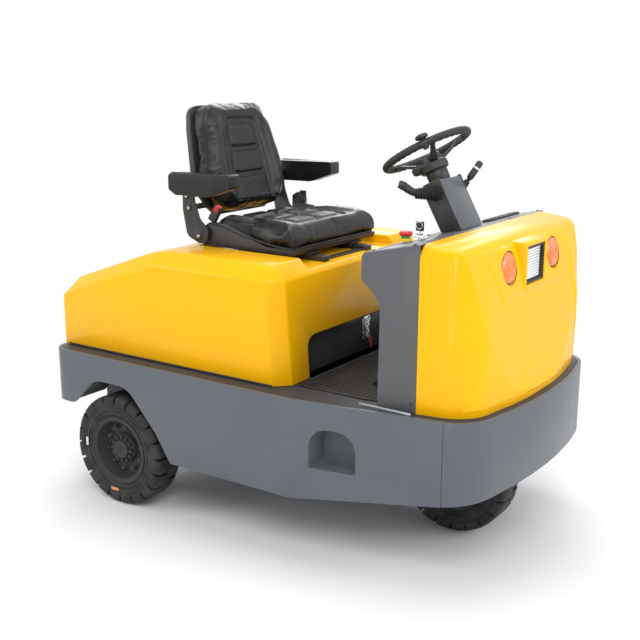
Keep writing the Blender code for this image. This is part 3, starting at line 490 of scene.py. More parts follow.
def makeTyre(centre, name, body, node, outside):
    cx, cy, cz = centre
    wall = [(0.1215, -0.050), (0.130, -0.0545), (0.134, -0.0525), (0.150, -0.0535), (0.164, -0.0545), (0.172, -0.050), (tyre["groove"], -0.040)]
    rows = [(0.1215, -0.0500)] + wall[1:] + [(tyre["groove"], 0.040)] + [(r, -a) for r, a in reversed(wall[:-1])]
    carcass = spun([(0.1218, -0.0502)] + rows + [(0.1218, 0.0502)], (0, 0, 0), (0, 0, 1), 80, closed=False)
    clearSelection()
    section = [(-0.005, 0.170), (-0.005, 0.1922), (0.040, 0.1922), (0.050, 0.1895), (0.0572, 0.182), (0.0572, 0.162), (0.0535, 0.157), (0.030, 0.160)]
    mesh = bpy.data.meshes.new("lug")
    mesh.from_pydata([(r, 0, a) for a, r in section], [], [list(range(len(section)))])
    lug = bpy.data.objects.new("lug", mesh)
    scene.collection.objects.link(lug)
    pick(lug)
    bpy.ops.object.mode_set(mode="EDIT")
    bpy.ops.mesh.select_all(action="SELECT")
    bpy.ops.mesh.spin(steps=5, angle=2 * math.pi / tyre["lugs"] * tyre["lugTurn"], center=(0, 0, 0), axis=(0, 0, 1))
    bpy.ops.mesh.select_all(action="SELECT")
    bpy.ops.mesh.remove_doubles(threshold=0.00001)
    bpy.ops.mesh.normals_make_consistent(inside=False)
    bpy.ops.object.mode_set(mode="OBJECT")
    applied(lug, "BEVEL", width=0.0016, segments=2, limit_method="ANGLE")
    other = copied(lug, Matrix.Rotation(math.pi / tyre["lugs"], 4, "Z") @ Matrix.Scale(-1, 4, (0, 0, 1)))
    other.data.flip_normals()
    treads = [around(lug, (0, 0, 0), (0, 0, 1), tyre["lugs"]), around(other, (0, 0, 0), (0, 0, 1), tyre["lugs"])]
    rings = [spun([(r - 0.0012, side * 0.0528), (r - 0.0007, side * 0.0546), (r + 0.0007, side * 0.0546), (r + 0.0012, side * 0.0528)], (0, 0, 0), (0, 0, 1), 80, closed=False) for r in (0.138, 0.153) for side in (-1, 1)]
    whole = joined([carcass] + treads + rings)
    whole.data.transform(Matrix.Translation((cx, cy, cz)) @ Matrix.Rotation(math.radians(90), 4, "X"))
    pick(whole)
    bpy.ops.object.mode_set(mode="EDIT")
    bpy.ops.mesh.select_all(action="SELECT")
    bpy.ops.mesh.normals_make_consistent(inside=False)
    bpy.ops.object.mode_set(mode="OBJECT")
    dressed(whole, name, body, "rubber", 38)
    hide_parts(node)
    if outside:
        for angle, wide, tall, finish, word in ((178, 0.010, 0.030, "silver", "white"), (262, 0.034, 0.011, "sticker", "orange")):
            a = math.radians(angle)
            patch = cuboid((-wide / 2, -0.0006, -tall / 2), (wide / 2, 0.0006, tall / 2), 0.0005)
            patch.data.transform(Matrix.Translation((cx + 0.1455 * math.cos(a), cy + outside * 0.0545, cz + 0.1455 * math.sin(a))))
            dressed(patch, name + "_" + word + "_label", body, finish)
    return whole


finishes["sticker"] = plasticFinish("orangeLabel", (0.85, 0.26, 0.10), rough=0.4, depth=0.05)
shell = {"rear_right": ((-0.505, -0.455, 0.1925), "rear_right_wheel", -1), "rear_left": ((-0.505, 0.455, 0.1925), "rear_left_wheel", 1), "front": ((0.535, 0, 0.1925), "front_wheel", 0)}
for word, (centre, body, outside) in shell.items():
    bpy.data.objects.remove(shells.pop(word + "_tyre"))
    makeTyre(centre, word + "_tyre_treaded", body, word + "_tyre", outside)

# wheel fittings: rim lip, nut ring, hub cap and its bolts

for side, body in ((-1, "rear_right_wheel"), (1, "rear_left_wheel")):
    word = body.replace("_wheel", "")
    face = side * 0.463
    axis = (0, side, 0)
    hub = (-0.505, 0, 0.1925)
    nut = spun([(0.0125, -0.001), (0.0125, 0.002), (0.0098, 0.003), (0.0098, 0.009), (0.0085, 0.0105), (0.0055, 0.0105), (0.0055, 0.0155), (0.004, 0.017)], (hub[0] + 0.076, face, hub[2]), axis, 6)
    dressed(around(nut, hub, axis, 10, 0.2), word + "_wheel_nuts", body, "darkSteel", 30)
    lip = spun([(0.1155, 0), (0.1175, 0.0035), (0.1205, 0.0035), (0.1210, 0)], (hub[0], side * 0.5055, hub[2]), axis, 64, closed=False)
    ridge = spun([(0.091, 0), (0.093, 0.004), (0.097, 0.004), (0.098, 0)], (hub[0], side * 0.4635, hub[2]), axis, 64, closed=False)
    dressed(joined([lip, ridge]), word + "_rim_beads", body, "rim")
    flange = spun([(0.052, 0), (0.052, 0.014), (0.049, 0.0195), (0.0365, 0.0200), (0.0335, 0.021)], (hub[0], face, hub[2]), axis, 40)
    cap = spun([(0.0325, -0.004), (0.0325, 0.006), (0.0312, 0.0085), (0.0290, 0.009), (0.0275, 0.0085), (0.005, 0.0085), (0.004, 0.0065), (0.002, 0.006)], (hub[0], side * 0.487, hub[2]), axis, 40)
    dressed(joined([flange, cap]), word + "_hub_cap", body, "rim")
    bolt = spun([(0.0066, 0), (0.0066, 0.0065), (0.0058, 0.0085), (0.0032, 0.0085), (0.0030, 0.0060)], (hub[0] + 0.0415, side * 0.4825, hub[2]), axis, 12)
    dressed(around(bolt, hub, axis, 12), word + "_hub_bolts", body, "darkSteel", 30)
print("wheels fitted")

# wheel arch liners: a dark sheet over each rear tyre

for side, word in ((-1, "right"), (1, "left")):
    points = [(-0.505 + 0.243 * math.cos(math.radians(a)), 0, 0.1925 + 0.243 * math.sin(math.radians(a))) for a in range(10, 143, 6)]
    mesh = bpy.data.meshes.new("liner")
    mesh.from_pydata(points, [(k, k + 1) for k in range(len(points) - 1)], [])
    liner = bpy.data.objects.new("liner", mesh)
    scene.collection.objects.link(liner)
    pick(liner)
    bpy.ops.object.mode_set(mode="EDIT")
    bpy.ops.mesh.select_all(action="SELECT")
    bpy.ops.mesh.extrude_region_move(TRANSFORM_OT_translate={"value": (0, side * 0.142, 0)})
    bpy.ops.object.mode_set(mode="OBJECT")
    liner.data.transform(Matrix.Translation((0, side * 0.368, 0)))
    applied(liner, "SOLIDIFY", thickness=0.002, offset=0)
    applied(liner, "BEVEL", width=0.0006, segments=1, limit_method="ANGLE")
    dressed(liner, word + "_arch_liner", "chassis", "trim", 40)

# front cowl: pressed outlines on its face

cowl = {"left": -0.395, "right": 0.395, "low": 0.532, "high": 0.984, "across": 300, "up": 180, "rise": 0.0042}


def smoothStep(value, low, high):
    t = min(1.0, max(0.0, (value - low) / (high - low)))
    return t * t * (3 - 2 * t)


def cowlHeight(y, z):  # how far the pressing stands out at a place on the face
    across = abs(y)
    edge = 0.352 - 0.050 * smoothStep(z, 0.56, 0.97)
    ridge = smoothStep(across, edge - 0.007, edge) * (1 - smoothStep(across, edge + 0.006, edge + 0.034))
    ridge *= 1 - smoothStep(z, 0.955, 0.975)
    if across < 0.212:
        line = 0.828
    else:
        line = 0.828 + 0.118 * min(1.0, (across - 0.212) / 0.070)
    lampFace = smoothStep(z, line - 0.005, line + 0.004) * (1 - smoothStep(z, 0.966, 0.982)) * (1 - smoothStep(across, edge - 0.004, edge + 0.010))
    cornerY = max(0.0, across - 0.085)
    cornerZ = max(0.0, z - 0.585)
    plate = 1 - smoothStep(math.hypot(cornerY, cornerZ), 0.022, 0.036)
    flare = (1 - smoothStep(z, 0.560, 0.578)) * smoothStep(across, edge - 0.01, edge + 0.02)
    return cowl["rise"] * max(ridge, lampFace, 0.75 * plate, 0.8 * flare)


clearSelection()
bpy.ops.mesh.primitive_grid_add(x_subdivisions=cowl["across"], y_subdivisions=cowl["up"], size=1, location=(0.83, 0, (cowl["low"] + cowl["high"]) / 2), rotation=(math.radians(90), 0, math.radians(90)))
skin = bpy.context.object
skin.scale = (cowl["right"] - cowl["left"], cowl["high"] - cowl["low"], 1)
settle(skin)
applied(skin, "SHRINKWRAP", target=shells["front_cowl"], wrap_method="PROJECT", use_project_x=True, use_project_y=False, use_project_z=False, use_positive_direction=False, use_negative_direction=True)
rimFade = 0.012
for point in skin.data.vertices:
    y, z = point.co.y, point.co.z
    inset = min(y - cowl["left"], cowl["right"] - y, z - cowl["low"], cowl["high"] - z)
    fade = smoothStep(inset, 0.0, rimFade)
    point.co.x += -0.0012 + fade * (0.0016 + cowlHeight(y, z))
lampBoxes = [(0.162, 0.914, 0.050), (-0.162, 0.914, 0.050)]
pick(skin)
bpy.ops.object.mode_set(mode="EDIT")
bpy.ops.mesh.select_all(action="DESELECT")
bpy.ops.object.mode_set(mode="OBJECT")
for face in skin.data.polygons:
    c = face.center
    inLamp = any(math.hypot(c.y - ly, c.z - lz) < lr for ly, lz, lr in lampBoxes)
    inHead = abs(c.y) < 0.063 and 0.849 < c.z < 0.965
    stray = c.x > 0.826 or c.x < 0.690 or abs(face.normal.x) < 0.02
    face.select = inLamp or inHead or stray
bpy.ops.object.mode_set(mode="EDIT")
bpy.ops.mesh.delete(type="FACE")
bpy.ops.object.mode_set(mode="OBJECT")
dressed(skin, "cowl_pressed_face", "chassis", "yellow", 60)

# lamps: yellow bosses, black rings, ribbed amber domes; a boxed-in work lamp

tilt = Vector((math.cos(math.radians(7)), 0, math.sin(math.radians(7))))
for side, word in ((-1, "right"), (1, "left")):
    centre = Vector((0.7345, side * 0.162, 0.9135))
    boss = spun([(0.064, -0.004), (0.0625, 0.006), (0.060, 0.011), (0.0565, 0.0135), (0.0525, 0.0135), (0.0505, 0.011), (0.0500, -0.004)], centre, tilt, 64, closed=False)
    dressed(boss, word + "_lamp_boss", "chassis", "yellow", 50)
    seal = spun([(0.0500, 0.000), (0.0500, 0.0115), (0.0485, 0.0135), (0.0470, 0.0125), (0.0470, 0.000)], centre, tilt, 56, closed=False)
    dressed(seal, word + "_lamp_seal", "chassis", "black", 50)
    rows = [(0.0468, 0.004)] + [(0.0468 * math.cos(math.radians(a)), 0.012 + 0.0105 * math.sin(math.radians(a))) for a in range(0, 90, 10)]
    dome = spun(rows, centre, tilt, 56)
    dressed(dome, word + "_lamp_lens", "chassis", "amber", 60)
    rings = [spun([(r, h - 0.001), (r - 0.0006, h + 0.0008), (r - 0.0016, h + 0.0008), (r - 0.0022, h)], centre, tilt, 48, closed=False) for r, h in ((0.040, 0.0180), (0.031, 0.0203), (0.022, 0.0217), (0.013, 0.0224))]
    dressed(joined(rings), word + "_lens_rings", "chassis", "amber", 60)
    screws = [screw(centre + Vector((0.014, side * y, z)), tilt, 0.0028, 0.002) for y, z in ((0.034, 0.018), (-0.034, -0.018))]
    dressed(joined(screws), word + "_lamp_screws", "chassis", "chrome")
    bpy.data.objects.remove(shells.pop("turn_lamp_" + word))
    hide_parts("turn_lamp_" + word)

workLamp = {"front": 0.766, "half": 0.078, "low": 0.838, "high": 0.976}
clearSelection()
lampHood = cuboid((0.715, -workLamp["half"] - 0.008, workLamp["low"] - 0.006), (workLamp["front"], workLamp["half"] + 0.008, workLamp["high"] + 0.004), 0)
chooseFaces(lampHood, lambda face: face.normal.x > 0.9)  # the raised yellow box round the work lamp
bpy.ops.transform.resize(value=(1, 0.92, 0.94), center_override=(workLamp["front"], 0, 0.908))
bpy.ops.mesh.inset(thickness=0.011, depth=0)
bpy.ops.mesh.extrude_region_move(TRANSFORM_OT_translate={"value": (-0.016, 0, 0)})
bpy.ops.object.mode_set(mode="OBJECT")
applied(lampHood, "BEVEL", width=0.0045, segments=4, limit_method="ANGLE")
dressed(lampHood, "work_lamp_hood", "chassis", "yellow", 50)
frameRing = cuboid((0.748, -0.0655, 0.8495), (0.7605, 0.0655, 0.9625), 0)
chooseFaces(frameRing, lambda face: face.normal.x > 0.9)
bpy.ops.mesh.inset(thickness=0.0075, depth=0)
bpy.ops.mesh.extrude_region_move(TRANSFORM_OT_translate={"value": (-0.007, 0, 0)})
bpy.ops.object.mode_set(mode="OBJECT")
applied(frameRing, "BEVEL", width=0.0012, segments=2, limit_method="ANGLE")
dressed(frameRing, "work_lamp_bezel", "chassis", "black")
ribs = [cuboid((0.7525, -0.0570, 0.8640 + k * 0.0083), (0.7595, 0.0360, 0.8719 + k * 0.0083), 0.0026, 3) for k in range(11)]
lens = joined(ribs)
dressed(lens, "work_lamp_lens", "chassis", "clear", 60)
bpy.data.objects.remove(shells.pop("headlamp"))
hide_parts("headlamp")
print("cowl and lamps done")

# steering wheel: grooved rim, hub with a dished moulding, spokes and spinner knob

wheel = {"centre": Vector((0.383, 0, 1.221)), "lean": 29.3, "ring": 0.137, "tube": 0.0122}
leanTurn = Matrix.Rotation(math.radians(-wheel["lean"]), 4, "Y")
placeWheel = Matrix.Translation(wheel["centre"]) @ leanTurn


def onWheel(piece, name, finish, smooth=45):
    settle(piece)
    piece.data.transform(placeWheel)
    return dressed(piece, name, "steering_wheel", finish, smooth)


clearSelection()
bpy.ops.mesh.primitive_torus_add(major_radius=wheel["ring"], minor_radius=wheel["tube"], major_segments=160, minor_segments=20)
ring = bpy.context.object
for point in ring.data.vertices:  # finger grooves on the underside
    flat = math.hypot(point.co.x, point.co.y)
    angle = math.atan2(point.co.y, point.co.x)
    under = max(0.0, -point.co.z / wheel["tube"])
    scoop = 0.0016 * under * (0.5 + 0.5 * math.cos(angle * 40))
    centreX, centreY = point.co.x / flat * wheel["ring"], point.co.y / flat * wheel["ring"]
    pull = 1 - scoop / wheel["tube"]
    point.co = (centreX + (point.co.x - centreX) * pull, centreY + (point.co.y - centreY) * pull, point.co.z * pull)
onWheel(ring, "steering_wheel_rim", "trim", 70)
arms = []
for angle, wide in ((180, 0.030), (50, 0.017), (-50, 0.017)):
    a = math.radians(angle)
    arm = cuboid((0.020, -wide / 2, -0.009), (0.1315, wide / 2, 0.003), 0, cut=3)
    for point in arm.data.vertices:
        along = (point.co.x - 0.020) / 0.1115
        drop = -0.034 * (1 - smoothStep(along, 0.15, 0.95))
        point.co.z = point.co.z * (1 - 0.35 * along) + drop
        point.co.y *= 1 + 0.9 * (1 - smoothStep(along, 0.0, 0.5)) - 0.25 * smoothStep(along, 0.5, 1.0)
    applied(arm, "BEVEL", width=0.003, segments=3, limit_method="ANGLE")
    arm.data.transform(Matrix.Rotation(a, 4, "Z"))
    arms.append(arm)
onWheel(joined(arms), "steering_wheel_spokes", "black")
hubRows = [(0.0300, -0.108), (0.0335, -0.104), (0.0350, -0.080), (0.0335, -0.074), (0.0440, -0.069), (0.0460, -0.060), (0.0450, -0.047), (0.0380, -0.042), (0.0345, -0.038), (0.0345, -0.024), (0.0310, -0.018), (0.0200, -0.015), (0.0060, -0.0145)]
onWheel(spun(hubRows, (0, 0, 0), (0, 0, 1), 48), "steering_wheel_hub", "black")
shroud = cuboid((-0.066, -0.031, -0.060), (0.010, 0.031, -0.034), 0.009, 4)
onWheel(shroud, "steering_hub_moulding", "black")
knobAngle = math.radians(-62)
knobPlace = Vector((wheel["ring"] * math.cos(knobAngle), wheel["ring"] * math.sin(knobAngle), 0))
knobRows = [(0.0070, -0.0185), (0.0092, -0.017), (0.0092, -0.014), (0.0080, -0.012), (0.0080, 0.014), (0.0175, 0.0155), (0.0205, 0.0185), (0.0205, 0.0225), (0.0180, 0.0265), (0.0120, 0.0290), (0.0040, 0.0298)]
onWheel(spun(knobRows, knobPlace, (0, 0, 1), 32), "spinner_knob", "black", 60)
clampBand = spun([(0.0145, -0.010), (0.0150, -0.008), (0.0150, 0.008), (0.0145, 0.010)], knobPlace, (-math.sin(knobAngle), math.cos(knobAngle), 0), 24)
onWheel(clampBand, "spinner_clamp", "black")
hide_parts("steering_wheel")
bpy.data.objects.remove(shells.pop("steering_wheel"))
print("steering wheel done")

# levers: ribbed gaiters, shaped grips

def gaiter(start, end, wide, narrow, folds, name):
    start, end = Vector(start), Vector(end)
    length = (end - start).length
    rows = []
    for k in range(folds * 2 + 1):
        t = k / (folds * 2)
        radius = wide + (narrow - wide) * t
        rows.append((radius * (1.0 if k % 2 else 0.84), length * t))
    piece = spun(rows, start, end - start, 32)
    return dressed(piece, name, "chassis", "gaiter", 70)


gaiter((0.464, -0.068, 1.100), (0.407, -0.112, 1.099), 0.0255, 0.0165, 9, "direction_lever_gaiter")
grip = piped([(0.418, -0.104, 1.099), (0.404, -0.115, 1.103), (0.392, -0.124, 1.111), (0.382, -0.131, 1.120), (0.373, -0.138, 1.126), (0.367, -0.142, 1.128)], 0.0128, sides=5, taper=[0.80, 0.92, 1.0, 1.0, 1.04, 0.92])
dressed(grip, "direction_lever_grip", "chassis", "black", 60)
gripBand = spun([(0.0133, 0), (0.0138, 0.001), (0.0138, 0.004), (0.0133, 0.005)], (0.381, -0.1318, 1.1208), (-0.70, -0.55, 0.45), 28)
dressed(gripBand, "direction_lever_band", "chassis", "trim", 60)
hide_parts("direction_lever")
bpy.data.objects.remove(shells.pop("direction_lever"))
gaiter((0.462, 0.073, 1.092), (0.482, 0.092, 1.124), 0.018, 0.010, 7, "brake_lever_gaiter")
stick = spun([(0.0062, 0), (0.0062, 0.012), (0.0100, 0.016), (0.0108, 0.024), (0.0108, 0.070), (0.0100, 0.075), (0.0070, 0.078)], (0.480, 0.090, 1.120), (0.42, 0.33, 0.80), 28)
dressed(stick, "brake_lever_grip", "chassis", "black", 50)
mark = spun([(0.0109, 0.050), (0.0112, 0.0505), (0.0112, 0.0565), (0.0109, 0.057)], (0.480, 0.090, 1.120), (0.42, 0.33, 0.80), 28)
dressed(mark, "brake_lever_mark", "chassis", "silver", 50)
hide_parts("brake_lever")
bpy.data.objects.remove(shells.pop("brake_lever"))

# stop button, key switch and the things on the dash

stopPlace = Vector((0.465, -0.265, 0.981))
dressed(spun([(0.0195, 0.000), (0.0195, 0.006), (0.0180, 0.0075)], stopPlace, (0, 0, 1), 36), "stop_button_collar", "chassis", "lemon")
dressed(spun([(0.0150, 0.006), (0.0150, 0.014), (0.0140, 0.015)], stopPlace, (0, 0, 1), 32), "stop_button_ring", "chassis", "green")
capRows = [(0.0125, 0.013), (0.0185, 0.0165), (0.0195, 0.0195), (0.0195, 0.0235), (0.0180, 0.0265), (0.0120, 0.0285), (0.0040, 0.0290)]
stopCap = dressed(spun(capRows, stopPlace, (0, 0, 1), 36), "stop_button_cap", "chassis", "red", 50)
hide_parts("emergency_stop")
bpy.data.objects.remove(shells.pop("emergency_stop"))
keyPlace = Vector((0.470, -0.190, 0.981))
lock = spun([(0.0138, 0.0), (0.0138, 0.004), (0.0125, 0.006), (0.0098, 0.006), (0.0098, 0.013), (0.0085, 0.0145), (0.0040, 0.0145)], keyPlace, (0, 0, 1), 32)
dressed(lock, "key_switch_barrel", "chassis", "chrome")
blade = cuboid(keyPlace + Vector((-0.0035, -0.0011, 0.010)), keyPlace + Vector((0.0035, 0.0011, 0.022)), 0.0004)
dressed(blade, "key_blade", "chassis", "chrome")
head = cuboid(keyPlace + Vector((-0.0135, -0.0036, 0.019)), keyPlace + Vector((0.0135, 0.0036, 0.0475)), 0.0034, 3)
ring = piped([keyPlace + Vector((0.0105 * math.cos(a), -0.004, 0.036 + 0.0105 * math.sin(a))) for a in [math.radians(x) for x in range(0, 360, 20)]], 0.0009, closed=True)
dressed(ring, "key_ring", "chassis", "chrome")
dressed(head, "key_head", "chassis", "black", 50)
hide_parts("key_switch")
bpy.data.objects.remove(shells.pop("key_switch"))


def onDash(x):  # the dash top rises forwards
    low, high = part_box("dash_top")
    return shells["dash_top"].ray_cast(Vector((x, 0.3, 1.2)), Vector((0, 0, -1)))[1].z


dashSlope = math.atan2(onDash(0.57) - onDash(0.47), 0.10)


def dashPiece(x0, x1, y0, y1, rise, name, finish, round=0.001):
    mid = (x0 + x1) / 2
    half = (x1 - x0) / 2
    piece = cuboid((-half, y0, -0.0006), (half, y1, rise), round)
    piece.data.transform(Matrix.Translation((mid, 0, onDash(mid))) @ Matrix.Rotation(-dashSlope, 4, "Y"))
    return dressed(piece, name, "chassis", finish)


dashPiece(0.447, 0.492, -0.232, -0.150, 0.0012, "key_plate", "plate")
dashPiece(0.500, 0.532, 0.172, 0.402, 0.0075, "document_slot", "black", 0.003)
dashPiece(0.5045, 0.5275, 0.180, 0.394, 0.0090, "document_slot_lip", "trim", 0.002)
for index, (x, y) in enumerate(((0.585, -0.425), (0.585, -0.20), (0.585, 0.20), (0.585, 0.425), (0.452, -0.425), (0.452, 0.425), (0.452, -0.10), (0.452, 0.10))):
    dressed(screw((x, y, onDash(x)), (-math.sin(dashSlope), 0, math.cos(dashSlope)), 0.0042, 0.0026), f"dash_screw_{index}", "chassis", "darkSteel")
print("controls done")

# seat: firm moulded cushions, blown up a little and then sewn down

def stuffed(node, voxel, most, pressure=4.0, smooth=10):  # remeshed and swollen by cloth, no point further than most
    piece = merged(node)
    applied(piece, "REMESH", mode="VOXEL", voxel_size=voxel)
    pick(piece)
    bpy.ops.object.mode_set(mode="EDIT")
    bpy.ops.mesh.select_all(action="SELECT")
    bpy.ops.mesh.vertices_smooth(factor=0.5, repeat=smooth)
    bpy.ops.object.mode_set(mode="OBJECT")
    before = [point.co.copy() for point in piece.data.vertices]
    cloth = piece.modifiers.new("cloth", "CLOTH")
    cloth.settings.quality = 4
    cloth.settings.mass = 0.3
    cloth.settings.tension_stiffness = 20
    cloth.settings.compression_stiffness = 20
    cloth.settings.use_pressure = True
    cloth.settings.uniform_pressure_force = pressure
    cloth.settings.effector_weights.gravity = 0
    cloth.point_cache.frame_start = 1
    cloth.point_cache.frame_end = 20
    for step in range(1, 21):
        scene.frame_set(step)
    pick(piece)
    bpy.ops.object.modifier_apply(modifier="cloth")
    scene.frame_set(1)
    for point, old in zip(piece.data.vertices, before):
        moved = point.co - old
        if moved.length > most:
            point.co = old + moved * (most / moved.length)
    return piece


def padDistance(u, v, halfWide, low, high, corner):  # signed distance to a round-cornered pad, below 0 inside
    du = abs(u) - (halfWide - corner)
    dv = abs(v - (low + high) / 2) - ((high - low) / 2 - corner)
    return math.hypot(max(du, 0), max(dv, 0)) + min(max(du, dv), 0) - corner


backRest = {"foot": Vector((-0.352, 0, 0.975)), "lean": 15, "height": 0.378, "panelTop": 0.312, "panelLow": 0.100, "panelHigh": 0.076}
leanAngle = math.radians(backRest["lean"])
alongBack = Vector((-math.sin(leanAngle), 0, math.cos(leanAngle)))
outOfBack = Vector((math.cos(leanAngle), 0, math.sin(leanAngle)))
backPads = [(0.216, 0.290), (0.126, 0.202), (0.010, 0.110)]  # low and high edge of each pad, up the back
backEdge = [(0.0, 0.135), (0.03, 0.168), (0.09, 0.208), (0.15, 0.208), (0.30, 0.180), (0.36, 0.160), (0.378, 0.155)]


def between(table, value):
    for (a, first), (b, second) in zip(table, table[1:]):
        if value <= b:
            return first + (second - first) * max(0.0, (value - a) / (b - a))
    return table[-1][1]


def backSurface(u, v):
    panel = backRest["panelLow"] + (backRest["panelHigh"] - backRest["panelLow"]) * v / backRest["panelTop"]
    d = padDistance(u, v, panel, -0.10, backRest["panelTop"], 0.018)
    lift = -0.0065 * math.exp(-(d / 0.0045) ** 2) - 0.0035 * (1 - smoothStep(d, -0.008, 0.0))
    for low, high in backPads:
        p = padDistance(u, v, panel - 0.013 - 0.04 * (high - 0.1) * 0.1, low, high, 0.012)
        lift += 0.0085 * (1 - smoothStep(p, -0.007, 0.0005)) - 0.0030 * math.exp(-((p - 0.002) / 0.003) ** 2)
    edge = between(backEdge, v)
    bolster = smoothStep(abs(u), panel + 0.012, edge - 0.058) * (1 - smoothStep(abs(u), edge - 0.050, edge - 0.004))
    lift += 0.016 * bolster * (1 - smoothStep(v, 0.275, 0.345)) * smoothStep(v, -0.02, 0.05)
    return lift + 0.004 * (1 - smoothStep(abs(u), 0.05, 0.2)) * smoothStep(v, 0.31, 0.34) * (1 - smoothStep(v, 0.35, 0.375))


back = stuffed("back_cushion", 0.0042, 0.010)
depths = sorted((point.co - backRest["foot"]).dot(outOfBack) for point in back.data.vertices)
frontDepth = depths[int(len(depths) * 0.97)]
for point in back.data.vertices:
    offset = point.co - backRest["foot"]
    u, v, n = offset.y, offset.dot(alongBack), offset.dot(outOfBack)
    weight = smoothStep(n, frontDepth - 0.040, frontDepth - 0.010)
    if weight > 0:
        point.co += outOfBack * backSurface(u, v) * weight
dressed(back, "seat_back_pad", "seat", "vinyl", 80)
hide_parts("back_cushion")
bpy.data.objects.remove(shells.pop("back_cushion"))

seatPads = [(-0.262, -0.190), (-0.176, -0.104), (-0.090, -0.022)]  # rear and front edge of each pad
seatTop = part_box("seat_cushion")[1].z


def seatSurface(x, y):
    d = padDistance(y, x, 0.150, -0.275, -0.004, 0.030)
    lift = -0.0075 * math.exp(-(d / 0.0055) ** 2) - 0.007 * (1 - smoothStep(d, -0.014, 0.0))
    for low, high in seatPads:
        for middle in (-0.069, 0.069):
            p = padDistance(y - middle, x, 0.062, low, high, 0.014)
            lift += 0.0095 * (1 - smoothStep(p, -0.012, 0.001))
    bolster = smoothStep(abs(y), 0.158, 0.195) * (1 - smoothStep(abs(y), 0.215, 0.246))
    return lift + 0.011 * bolster * (1 - smoothStep(x, -0.02, 0.05)) * smoothStep(x, -0.30, -0.25) + 0.004 * smoothStep(x, 0.0, 0.025)


seat = stuffed("seat_cushion", 0.0045, 0.012)
for point in seat.data.vertices:
    x, y, z = point.co
    weight = smoothStep(z, seatTop - 0.035, seatTop - 0.010)
    point.co.z += seatSurface(x, y) * weight
    roll = smoothStep(x, -0.02, 0.056) * smoothStep(z, 0.915, 0.960)  # the front edge rolls down and out
    point.co.z -= 0.010 * roll * smoothStep(x, 0.02, 0.060)
dressed(seat, "seat_pad", "seat", "vinyl", 80)
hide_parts("seat_cushion")
bpy.data.objects.remove(shells.pop("seat_cushion"))
print("cushions sewn")

# piping, arm pads, brackets' bolts, belt parts

shellDepth = max((Vector(point.co) - backRest["foot"]).dot(outOfBack) for point in shells["seat_back_shell"].data.vertices if abs(point.co.y) < 0.2 and point.co.z > 1.1)
seam = []
steps = 26
for k in range(steps + 1):
    v = 0.012 + (backRest["height"] - 0.050) * k / steps
    seam.append((between(backEdge, v) - 0.004, v))
corner = [(between(backEdge, 0.34) - 0.004 - 0.036 * (1 - math.cos(a)), backRest["height"] - 0.038 + 0.034 * math.sin(a)) for a in [math.radians(x) for x in range(10, 91, 16)]]
half = seam + corner
loop = [backRest["foot"] + alongBack * v + outOfBack * shellDepth + Vector((0, -u, 0)) for u, v in half]
loop += [backRest["foot"] + alongBack * v + outOfBack * shellDepth + Vector((0, u, 0)) for u, v in reversed(half)]
dressed(piped(loop, 0.0028), "seat_back_piping", "seat", "vinyl", 70)
side = [(-0.292, 0.964), (-0.245, 0.957), (-0.190, 0.944), (-0.130, 0.930), (-0.070, 0.918), (-0.010, 0.910), (0.030, 0.908)]
nose = [(0.050 - 0.030 * (1 - math.sin(a)), 0.2455 - 0.030 * (1 - math.cos(a))) for a in [math.radians(x) for x in range(0, 91, 15)]]
lip = [(x, -0.2465, z) for x, z in side] + [(x, -y, 0.908) for x, y in nose] + [(x, y, 0.908) for x, y in reversed(nose)] + [(x, 0.2465, z) for x, z in reversed(side)]
dressed(piped(lip, 0.0034), "seat_lip_piping", "seat", "trim", 70)

for side, word in ((-1, "right"), (1, "left")):
    bpy.data.objects.remove(shells.pop("armrest_" + word))
    arm = refined("armrest_" + word, "vinyl", 0.011, 5, 60, "arm_pad_" + word)
    body = word + "_armrest"
    edge = []
    for x, z in ((-0.400, 1.128), (-0.280, 1.1285), (-0.165, 1.1275)):
        edge.append((x, side * 0.3125, z + 0.004))
    dressed(piped(edge, 0.0014), word + "_arm_seam", body, "trim", 70)
    for index, (x, z, radius) in enumerate(((-0.384, 1.050, 0.0095), (-0.374, 1.010, 0.0085), (-0.334, 0.918, 0.0085))):
        dressed(screw((x, side * 0.2585, z), (0, side, 0), radius * 0.72, 0.0055), f"{word}_bracket_bolt_{index}", "seat", "chrome")

holder = cuboid((-0.015, -0.008, -0.034), (0.015, 0.008, 0.018), 0.003, 3)
holderTurn = Matrix.Translation((-0.276, -0.236, 0.998)) @ Matrix.Rotation(math.radians(32), 4, "Y")
holder.data.transform(holderTurn)
buckleTongue = cuboid((-0.013, -0.0092, 0.004), (0.013, 0.0092, 0.026), 0.003, 3)
buckleTongue.data.transform(holderTurn)
dressed(joined([holder, buckleTongue]), "buckle_body", "seat", "black", 50)
button = cuboid((-0.0085, -0.0100, 0.006), (0.0085, 0.0100, 0.0275), 0.002, 2)
button.data.transform(holderTurn)
dressed(button, "buckle_button", "seat", "red", 50)
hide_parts("belt_buckle")
bpy.data.objects.remove(shells.pop("belt_buckle"))
bpy.data.objects.remove(shells.pop("belt_retractor"))
refined("belt_retractor", "black", 0.005, 3, 50, "belt_reel_case")
drum = spun([(0.016, 0), (0.019, 0.002), (0.019, 0.0125), (0.016, 0.0145)], (-0.277, 0.2275, 1.000), (0, 1, 0), 28)
dressed(drum, "belt_reel", "seat", "trim", 50)
strap = cuboid((-0.262, 0.229, 1.004), (-0.236, 0.2335, 1.030), 0.0008)
dressed(strap, "belt_tongue", "seat", "black")

